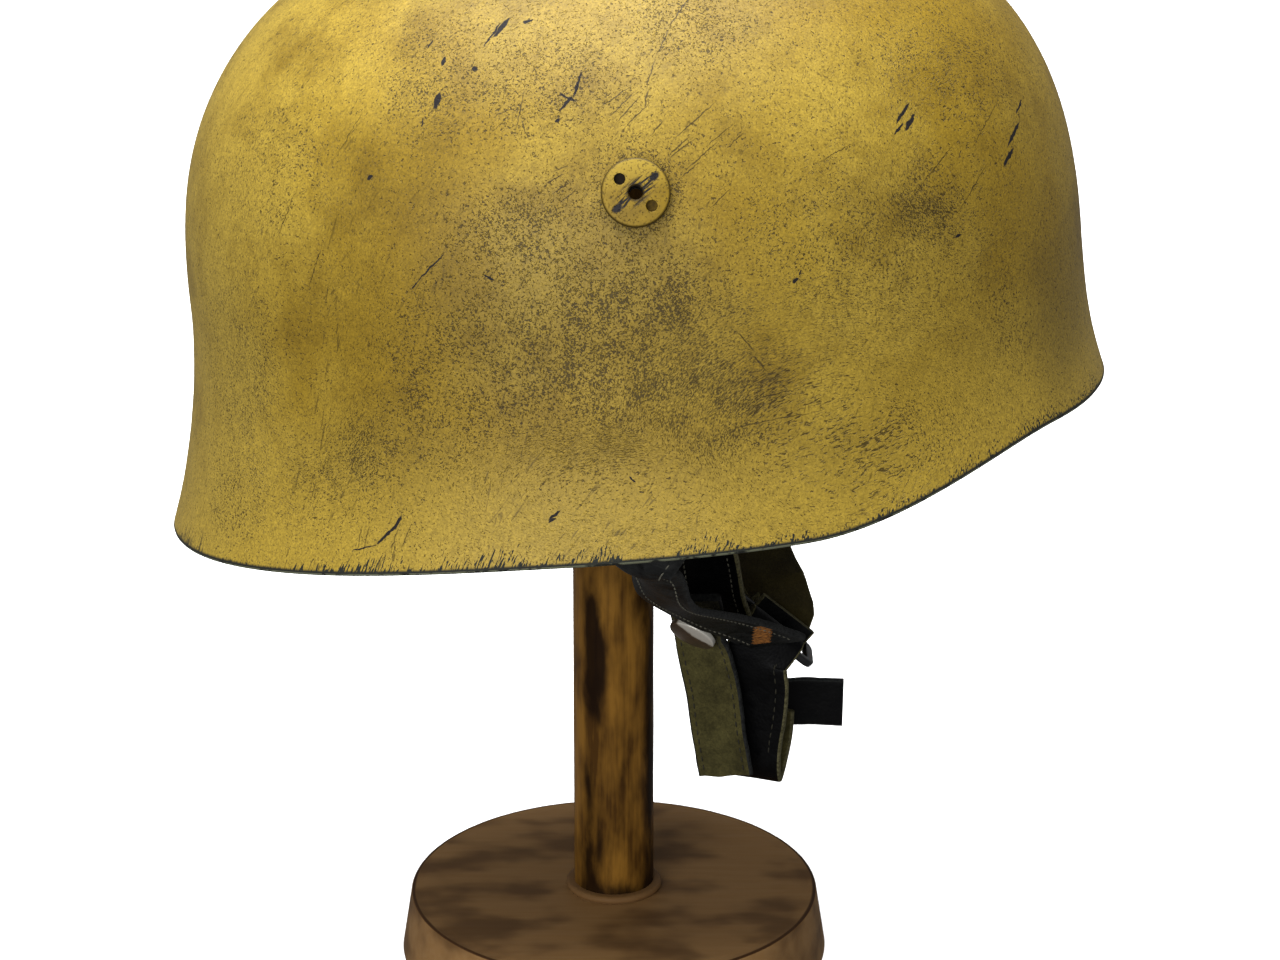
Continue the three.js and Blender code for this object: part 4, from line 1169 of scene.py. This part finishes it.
class HELMET_OT_bolts(bpy.types.Operator):
    """Builds the two spanner bolts with their vent and spanner holes"""

    bl_idname = "helmet.bolts"
    bl_label = "Side bolts"

    def execute(self, context):
        scene = context.scene
        f = scene.helmet_fasteners
        form = ShellForm(scene.helmet_shell)
        top = f.gap + f.head_height
        shoulder = top - f.head_bevel
        profile = [(f.vent_radius, -f.shank_length), (f.shank_radius - 0.4 * MM, -f.shank_length),
                   (f.shank_radius, 0.4 * MM - f.shank_length), (f.shank_radius, f.gap)]
        profile += [(f.head_radius - 0.25 * MM, f.gap), (f.head_radius, f.gap + 0.25 * MM)]
        profile += arc((f.head_radius - f.head_bevel, shoulder), f.head_bevel, 0, 84, 7)
        flat_radius, vent_ease = f.head_radius - f.head_bevel, 0.3 * MM
        for share in np.linspace(0.12, 1, 12):
            radius = flat_radius - share * (flat_radius - f.vent_radius - vent_ease)
            profile.append((radius, top + f.head_crown * (1 - (1 - share) ** 2)))
        profile.append((f.vent_radius, top + f.head_crown - vent_ease))
        segments = 96
        local, faces = closed_lathe(profile, segments)
        finishes = finishes_for(scene, scratched_bolt_paint, dirty_hole, painted_over_hole)
        face_finish = np.repeat([0] * (len(profile) - 1) + [1], segments)
        for side, word in ((1, "left"), (-1, "right")):
            place = form.bolt_place(side, f)
            piece = make_mesh(f"spanner_bolt_{word}", moved(place, local), faces, finishes, face_finish,
                              flat=local[:, :2], crease=30)
            tools = []
            for end, packing in ((1, finishes[1]), (-1, finishes[2])):
                offset = end * f.spanner_pitch * math.sqrt(0.5)
                spot = place @ Matrix.Translation((-offset, offset, 0))
                tools.append(rod("hole", f.spanner_radius, top - f.spanner_depth, top + f.head_height,
                                 spot, packing))
            place_piece(cut(piece, tools), f"bolt_{word}")
        return {"FINISHED"}


class HELMET_OT_nuts(bpy.types.Operator):
    """Builds the plain nuts that hold the strap ends inside the shell"""

    bl_idname = "helmet.nuts"
    bl_label = "Inside nuts"

    def execute(self, context):
        scene = context.scene
        f, s = scene.helmet_fasteners, scene.helmet_straps
        form = ShellForm(scene.helmet_shell)
        for side, word, layers in ((1, "left", 1), (-1, "right", 2)):
            leather = layers * (s.thickness + f.gap)
            near = -(scene.helmet_shell.thickness + f.wall_gap + leather + f.nut_clearance)
            far = near - f.nut_height
            bore, outer, ease = f.shank_radius + f.gap, f.nut_radius, 0.6 * MM
            profile = [(bore, far + 0.3 * MM), (bore + 0.3 * MM, far)]
            profile += arc((outer - ease, far + ease), ease, -90, 0, 5)
            profile += arc((outer - ease, near - ease), ease, 0, 90, 5)
            profile += [(bore + 0.3 * MM, near), (bore, near - 0.3 * MM)]
            local, faces = closed_lathe(profile, 72)
            piece = make_mesh(f"ring_nut_{word}", moved(form.bolt_place(side, f), local), faces,
                              finishes_for(scene, plain_steel))
            place_piece(piece, f"nut_{word}")
        return {"FINISHED"}


def strap_width(name, sizes):
    return {"strap_stud_end": sizes.stud_end_width, "strap_tab": sizes.tab_width}.get(name, sizes.width)


class HELMET_OT_straps(bpy.types.Operator):
    """Builds the leather straps: black grain on one side, olive suede on the other, raw cut edges"""

    bl_idname = "helmet.straps"
    bl_label = "Leather straps"

    def section(self, half, thick, ease):
        """Outline of a strap across its run, and the finish of each stretch of it: 0 face, 1 edge, 2 back."""
        flat = np.linspace(ease - half, half - ease, FACE_COLUMNS + 1)
        side = [(ease * 0.35, 0.86), (0, 0.42), (0, -0.42), (ease * 0.35, -0.86)]
        outline = [(u, thick) for u in flat]
        outline += [(half - inset, share * thick) for inset, share in side]
        outline += [(u, -thick) for u in flat[::-1]]
        outline += [(inset - half, -share * thick) for inset, share in side]
        edge = [1] * (len(side) + 1)
        kinds = [0] * FACE_COLUMNS + edge + [2] * FACE_COLUMNS + edge
        return np.array(outline), kinds

    def execute(self, context):
        scene = context.scene
        sizes, f = scene.helmet_straps, scene.helmet_fasteners
        shell = ShellForm(scene.helmet_shell)
        finishes = finishes_for(scene, black_grain_leather, raw_leather_edge, olive_suede, tan_leather_end,
                                dyed_leather_edge)
        for seed, name in enumerate(STRAP_ROWS):
            form = StrapForm(name, scene)
            places, run = form.evenly(1.1 * MM)
            point, along, across, face = form.at(places)
            outline, kinds = self.section(strap_width(name, sizes) / 2, sizes.thickness / 2, sizes.edge_round)
            count = len(outline)
            sway = 0.22 * MM * wander(point, 13 * MM, 20 + seed)
            wide, deep = form.curled(places, outline)
            rows = point[:, None] + across[:, None] * wide[..., None] + face[:, None] * deep[..., None]
            rows = rows + face[:, None] * sway[:, None, None]
            skin = rows.reshape(-1, 3)
            edge_share = (np.abs(outline[:, 0]) / np.abs(outline[:, 0]).max()) ** 6
            rough_cut = (0.16 * MM * wander(skin, 5 * MM, 30 + seed)).reshape(rows.shape[:2]) * edge_share
            rows = rows + across[:, None] * rough_cut[..., None]
            pebble = (0.07 * MM * wander(skin, 3 * MM, 40 + seed)).reshape(rows.shape[:2])
            rows = rows + face[:, None] * pebble[..., None]
            if name == "strap_right_rear":
                # The strap is creased where it turns out from under the rim.
                bent = np.exp(-((places - 6.3) / 0.8) ** 2)
                folds = 0.45 * MM * np.sin(run / (2.1 * MM)) * bent
                lean = 0.6 + 0.4 * outline[:, 0] / (10 * MM)
                rows = rows + face[:, None] * (folds[:, None] * lean)[..., None]
            if name == "strap_stud_end":
                # Cut by hand: its end runs a little uneven.
                uneven = 0.9 * MM * wander(rows[-1], 6 * MM, 50)
                tail = smoothstep(places, 6.4, 7.0)
                rows = rows + along[:, None] * (tail[:, None] * uneven[None, :])[..., None]
            points = np.vstack([rows.reshape(-1, 3), rows[0].mean(axis=0), rows[-1].mean(axis=0)])
            faces = capped_faces(len(rows), count)
            edge = 4 if name in DYED_EDGES else 1
            front = {0: 0, 1: edge, 2: 2} if GRAIN_SIDE[name] > 0 else {0: 2, 1: edge, 2: 0}
            face_finish = [front[k] for k in kinds] * (len(rows) - 1) + [edge] * (2 * count)
            if name == "strap_right_rear":
                # A skived patch near its end has lost its grain and shows tan.
                first, last, middle, half = TAN_PATCH
                for row in np.flatnonzero((places > first) & (places < last)):
                    off_middle = np.abs(rows[row, :FACE_COLUMNS, 0] - middle * MM)
                    for column in np.flatnonzero(off_middle < half * MM):
                        face_finish[row * count + column] = 3
            # The second value darkens the suede as painted shade, on the strap that hangs deepest in shade.
            handled, painted_shade = HANDLING_AND_SHADE.get(name, (0.1, 0.0))
            values = {"handled": np.full(len(points), handled), "painted_shade": np.full(len(points), painted_shade)}
            piece = make_mesh(f"leather_{name}", points, faces, finishes, face_finish,
                              values=values, crease=50)
            if form.side:
                place = shell.bolt_place(form.side, f)
                tool = rod("hole", f.shank_radius + f.gap, -f.shank_length, 0, place, finishes[1])
                cut(piece, [tool])
            place_piece(piece, name)
        return {"FINISHED"}


class HELMET_OT_stitches(bpy.types.Operator):
    """Sews the rows of thread along the straps"""

    bl_idname = "helmet.stitches"
    bl_label = "Stitches"

    def execute(self, context):
        scene = context.scene
        sizes = scene.helmet_straps
        turns = np.linspace(0, 2 * math.pi, 6, endpoint=False)
        reach = np.array([-1, -0.72, -0.3, 0.3, 0.72, 1])
        made = {}
        for name, side, offset, first, last in STITCH_ROWS:
            form = StrapForm(name, scene)
            places = form.evenly(sizes.stitch_pitch, first, last)[0]
            middles = (places[:-1] + places[1:]) / 2
            point, along, across, face = form.at(middles)
            sunk = sizes.thickness / 2 - 0.08 * MM
            wide, deep = form.curled(middles, np.array([(offset * MM, side * sunk)]))
            jitter = 0.1 * wander(point, 2 * MM, 60)
            group = made.setdefault((name, side), ([], []))
            for i in range(len(middles)):
                heading = along[i] + across[i] * jitter[i]
                up = face[i] * side
                centre = point[i] + across[i] * wide[i, 0] + face[i] * deep[i, 0]
                rings = []
                for r in reach:
                    thick = sizes.thread / 2 * math.sqrt(max(1 - (0.93 * r) ** 2, 0.06))
                    middle = centre + heading * r * sizes.stitch_length / 2 + up * 0.22 * MM * (1 - r * r)
                    rings.append([middle + thick * (across[i] * math.cos(t) + up * math.sin(t))
                                  for t in turns])
                start = len(group[0])
                group[0].extend(np.array(rings).reshape(-1, 3))
                group[1].extend(grid_faces(len(reach), len(turns), start))
                group[1].append(tuple(start + k for k in range(len(turns))))
                tail = start + (len(reach) - 1) * len(turns)
                group[1].append(tuple(tail + k for k in reversed(range(len(turns)))))
        for (name, side), (points, faces) in made.items():
            word = "grain" if GRAIN_SIDE[name] == side else "suede"
            dim = word == "suede" or name == "strap_loop"
            finishes = finishes_for(scene, olive_waxed_thread if dim else pale_waxed_thread)
            piece = make_mesh(f"stitches_{name}_{word}", points, faces, finishes, crease=80)
            place_piece(piece, None)
        return {"FINISHED"}


class HELMET_OT_buckle(bpy.types.Operator):
    """Builds the black frame buckle"""

    bl_idname = "helmet.buckle"
    bl_label = "Frame buckle"

    def execute(self, context):
        scene = context.scene
        f = scene.helmet_fasteners
        corner = f.buckle_corner - f.buckle_bar / 2
        half_x = (f.buckle_length - f.buckle_bar) / 2 - corner
        half_y = (f.buckle_width - f.buckle_bar) / 2 - corner
        path, ways = [], []
        for quarter, (sx, sy) in enumerate(((1, 1), (-1, 1), (-1, -1), (1, -1))):
            for t in np.linspace(0, math.pi / 2, 9):
                way = np.array([math.cos(t + quarter * math.pi / 2), math.sin(t + quarter * math.pi / 2), 0])
                path.append(np.array([sx * half_x, sy * half_y, 0]) + corner * way)
                ways.append(way)
            # The straight bars between the corners.
            following = ((-1, 1), (-1, -1), (1, -1), (1, 1))[quarter]
            goal = np.array([following[0] * half_x, following[1] * half_y, 0]) + corner * ways[-1]
            begin = path[-1]
            for share in np.linspace(0, 1, 10)[1:-1]:
                path.append(begin + (goal - begin) * share)
                ways.append(ways[-1])
        turns = np.linspace(0, 2 * math.pi, 20, endpoint=False)
        # A flattened, rounded section: squarer than a round wire.
        across = f.buckle_bar / 2 * np.sign(np.cos(turns)) * np.abs(np.cos(turns)) ** 0.55
        thick = f.buckle_thickness / 2 * np.sign(np.sin(turns)) * np.abs(np.sin(turns)) ** 0.55
        rows = np.array([p + np.outer(across, w) + np.outer(thick, (0, 0, 1)) for p, w in zip(path, ways)])
        faces = grid_faces(len(rows), len(turns), closed=True)
        points = moved(buckle_matrix(f), rows.reshape(-1, 3))
        finishes = finishes_for(scene, black_lacquered_brass)
        piece = make_mesh("frame_buckle", points, faces, finishes, crease=60)
        place_piece(piece, "buckle")
        return {"FINISHED"}


class HELMET_OT_stud(bpy.types.Operator):
    """Builds the cap of the press stud"""

    bl_idname = "helmet.stud"
    bl_label = "Press stud"

    def execute(self, context):
        scene = context.scene
        f = scene.helmet_fasteners
        point, along, across, face = (v[0] for v in StrapForm("strap_stud_end", scene).at([f.stud_row]))
        lift = scene.helmet_straps.thickness / 2 + f.gap
        place = Matrix(np.column_stack([across, -along, face]).tolist()).to_4x4()
        place = Matrix.Translation(Vector(point + face * lift)) @ place
        edge = 0.45 * MM
        peak = f.stud_neck + f.stud_height
        profile = [(f.stud_neck_radius, 0), (f.stud_neck_radius, f.stud_neck),
                   (f.stud_radius - edge, f.stud_neck)]
        profile += arc((f.stud_radius - edge, f.stud_neck + edge), edge, -80, 0, 5)
        profile += arc((f.stud_radius - edge, peak - 2.2 * edge), edge, 0, 65, 6)
        rim_radius, rim_height = profile[-1]
        for share in np.linspace(0.06, 1, 22):
            radius = rim_radius * (1 - share)
            dome = rim_height + (peak - rim_height) * (1 - (radius / rim_radius) ** 2) ** 0.8
            profile.append((max(radius, 0.02 * MM), dome))
        local, faces = solid_lathe(profile, 72)
        piece = make_mesh("press_stud_cap", moved(place, local), faces, finishes_for(scene, nickel_with_painted_light_and_shade),
                          flat=local[:, :2], crease=70)
        place_piece(piece, "stud")
        return {"FINISHED"}


class HELMET_OT_post(bpy.types.Operator):
    """Builds the scorched post with the bead round its foot"""

    bl_idname = "helmet.post"
    bl_label = "Post"

    def execute(self, context):
        scene = context.scene
        s = scene.helmet_stand
        foot = s.base_height + 0.2 * MM
        bead = s.foot_height / 2
        profile = [(s.foot_radius - 0.6 * MM, foot)]
        profile += arc((s.foot_radius - bead, foot + bead), bead, -60, 80, 8)
        profile += [(s.post_radius, foot + s.foot_height)]
        profile += [(s.post_radius, z) for z in np.linspace(foot + 4 * MM, s.post_top - s.post_round, 150)]
        profile += arc((s.post_radius - s.post_round, s.post_top - s.post_round), s.post_round, 0, 90, 8)[1:]
        segments = 96
        points, faces = solid_lathe(profile, segments)
        outward = points * np.array([1, 1, 0])
        reach = np.linalg.norm(outward, axis=1, keepdims=True)
        outward = outward / np.maximum(reach, 1e-6)
        stretched = points * np.array([1, 1, 0.1])
        points = points + outward * (0.09 * MM * wander(stretched, 2.2 * MM, 70))[:, None] * (reach > 5 * MM)
        turned = np.degrees(np.arctan2(points[:, 0], -points[:, 1]))
        # Painted shade: the front is a little lighter, and the post is darkened from its sides round to its
        # back, where it turns away from the light.
        burn_and_shade = 0.3 * smoothstep(np.abs(turned), 80, 120) - 0.16
        for angle, height, half_angle, half_height, strength in SCORCHES_AND_SHADE:
            away = np.hypot((turned - angle) / half_angle, (points[:, 2] / MM - height) / half_height)
            burn_and_shade = burn_and_shade + strength * np.exp(-away * away)
        # The bead is a fillet of glue and stain that took the base's colour.
        bead_rows = 10
        face_finish = np.zeros(len(faces), dtype=int)
        face_finish[:bead_rows * segments] = 1
        finishes = finishes_for(scene, scorched_pine, smudged_wood_stain)
        lined = 0.5 * (points[:, 2] < foot + s.foot_height + 0.1 * MM)
        piece = make_mesh("pine_post", points, faces, finishes, face_finish,
                          values={"burn_and_shade": burn_and_shade, "lined": lined}, crease=60)
        place_piece(piece, "stand_post")
        return {"FINISHED"}


class HELMET_OT_base(bpy.types.Operator):
    """Builds the stained round base"""

    bl_idname = "helmet.base"
    bl_label = "Base"

    def execute(self, context):
        scene = context.scene
        s = scene.helmet_stand
        ease = 1.0 * MM
        profile = [(r, 0) for r in np.linspace(8 * MM, s.base_radius - s.base_bevel, 8)]
        profile += arc((s.base_radius - s.base_bevel, s.base_bevel), s.base_bevel, -80, 0, 5)
        low, high = s.base_bevel, s.base_height - ease
        for share in np.linspace(0.1, 1, 16):
            radius = s.base_radius + (s.base_top_radius - s.base_radius) * share
            profile.append((radius, low + (high - low) * share))
        profile += arc((s.base_top_radius - ease, s.base_height - ease), ease, 10, 90, 6)
        for radius in np.linspace(s.base_top_radius - 1.6 * MM, 2 * MM, 46):
            groove = 0.25 * MM * math.exp(-((radius - s.base_top_radius + 2.6 * MM) / (0.5 * MM)) ** 2)
            profile.append((radius, s.base_height - groove))
        points, faces = solid_lathe(profile, 192)
        stretched = points * np.array([0.12, 1, 1])
        on_top = points[:, 2] > s.base_height - 0.6 * MM
        points[:, 2] = points[:, 2] + 0.05 * MM * wander(stretched, 2.4 * MM, 80) * on_top
        # A dark line of stain stands along the edge of the top face.
        reach = np.hypot(points[:, 0], points[:, 1])
        top_face = points[:, 2] > s.base_height - 0.5 * MM
        lined = top_face * (np.abs(reach - s.base_top_radius + 0.8 * MM) < 0.5 * MM)
        piece = make_mesh("wooden_base", points, faces, finishes_for(scene, smudged_wood_stain),
                          values={"lined": lined}, crease=50)
        place_piece(piece, "stand_base")
        return {"FINISHED"}


class HELMET_OT_stage(bpy.types.Operator):
    """Sets the camera, the pale floor and the soft light"""

    bl_idname = "helmet.stage"
    bl_label = "Stage"

    def execute(self, context):
        scene = context.scene
        stage = scene.helmet_stage
        lens = bpy.data.cameras.new("camera")
        lens.lens, lens.sensor_width, lens.sensor_fit = stage.lens, 36, "HORIZONTAL"
        lens.clip_start, lens.clip_end = 0.05, 50
        camera = bpy.data.objects.new("camera", lens)
        camera.location = stage.camera_place
        aim = Vector(stage.camera_aim) - Vector(stage.camera_place)
        camera.rotation_euler = aim.to_track_quat("-Z", "Y").to_euler()
        scene.collection.objects.link(camera)
        scene.camera = camera

        half, count = stage.floor_half, 24
        steps = np.linspace(-half, half, count)
        points = [(x, y, -0.1 * MM) for y in steps for x in steps]
        faces = [(r * count + k, r * count + k + 1, (r + 1) * count + k + 1, (r + 1) * count + k)
                 for r in range(count - 1) for k in range(count - 1)]
        sheet = bpy.data.meshes.new("floor")
        sheet.from_pydata(points, [], faces)
        sheet.materials.append(finishes_for(scene, white_floor_paper)[0])
        floor = bpy.data.objects.new("floor", sheet)
        scene.collection.objects.link(floor)
        # Paper this white would flood the walls and straps from below, so the light it throws back is
        # left out.
        floor.visible_diffuse = floor.visible_glossy = False

        key = bpy.data.lights.new("key light", "AREA")
        key.shape, key.size, key.size_y, key.energy = "RECTANGLE", 1.7, 1.3, stage.key
        fill = bpy.data.lights.new("fill light", "AREA")
        fill.shape, fill.size, fill.size_y, fill.energy = "RECTANGLE", 1.2, 0.8, stage.fill
        wash = bpy.data.lights.new("floor wash", "SUN")
        wash.energy = stage.wash
        lights = {}
        for lamp, place in ((key, (-0.14, 0.02, 1.5)), (fill, (-0.45, -1.5, 0.55)), (wash, (0, 0, 3))):
            light = lights[lamp.name] = bpy.data.objects.new(lamp.name, lamp)
            light.location = place
            light.rotation_euler = (Vector((0, 0, 0.2)) - Vector(place)).to_track_quat("-Z", "Y").to_euler()
            scene.collection.objects.link(light)
        # The wash falls on the floor alone and nothing shades it, as evenly lit paper would look.
        washed = bpy.data.collections.new("washed floor")
        washed.objects.link(floor)
        lights["floor wash"].light_linking.receiver_collection = washed
        lights["floor wash"].light_linking.blocker_collection = washed

        world = bpy.data.worlds.new("white surround")
        world.use_nodes = True
        tree = world.node_tree
        tree.nodes.clear()
        sky = add_node(tree, "Background", {"Color": (1, 1, 1, 1), "Strength": stage.sky})
        add_node(tree, "OutputWorld", {"Surface": sky})
        scene.world = world
        scene.view_settings.view_transform = "Standard"
        scene.view_settings.look = "None"
        return {"FINISHED"}


class HELMET_PT_build(bpy.types.Panel):
    """Lists the pieces of the helmet and its stand"""

    bl_label = "Helmet on a stand"
    bl_idname = "HELMET_PT_build"
    bl_space_type = "VIEW_3D"
    bl_region_type = "UI"
    bl_category = "Helmet"

    def draw(self, context):
        for operator in OPERATORS:
            self.layout.operator(operator.bl_idname)
        for name in SETTINGS:
            group = getattr(context.scene, name)
            box = self.layout.box()
            for key in group.__annotations__:
                box.prop(group, key)


OPERATORS = (
    HELMET_OT_stage, HELMET_OT_shell, HELMET_OT_bolts, HELMET_OT_nuts, HELMET_OT_straps, HELMET_OT_stitches,
    HELMET_OT_buckle, HELMET_OT_stud, HELMET_OT_post, HELMET_OT_base,
)
SETTINGS = {
    "helmet_shell": ShellSizes, "helmet_fasteners": FastenerSizes, "helmet_straps": StrapSizes,
    "helmet_stand": StandSizes, "helmet_stage": StageSizes, "helmet_finishes": Finishes,
}
CLASSES = (*SETTINGS.values(), *OPERATORS, HELMET_PT_build)


def register():
    for each in CLASSES:
        bpy.utils.register_class(each)
    for name, group in SETTINGS.items():
        setattr(bpy.types.Scene, name, bpy.props.PointerProperty(type=group))


def unregister():
    for name in SETTINGS:
        delattr(bpy.types.Scene, name)
    for each in reversed(CLASSES):
        bpy.utils.unregister_class(each)


def main():
    register()
    for operator in OPERATORS:
        family, action = operator.bl_idname.split(".")
        getattr(getattr(bpy.ops, family), action)()
    bpy.context.view_layer.update()


if __name__ == "__main__":
    main()
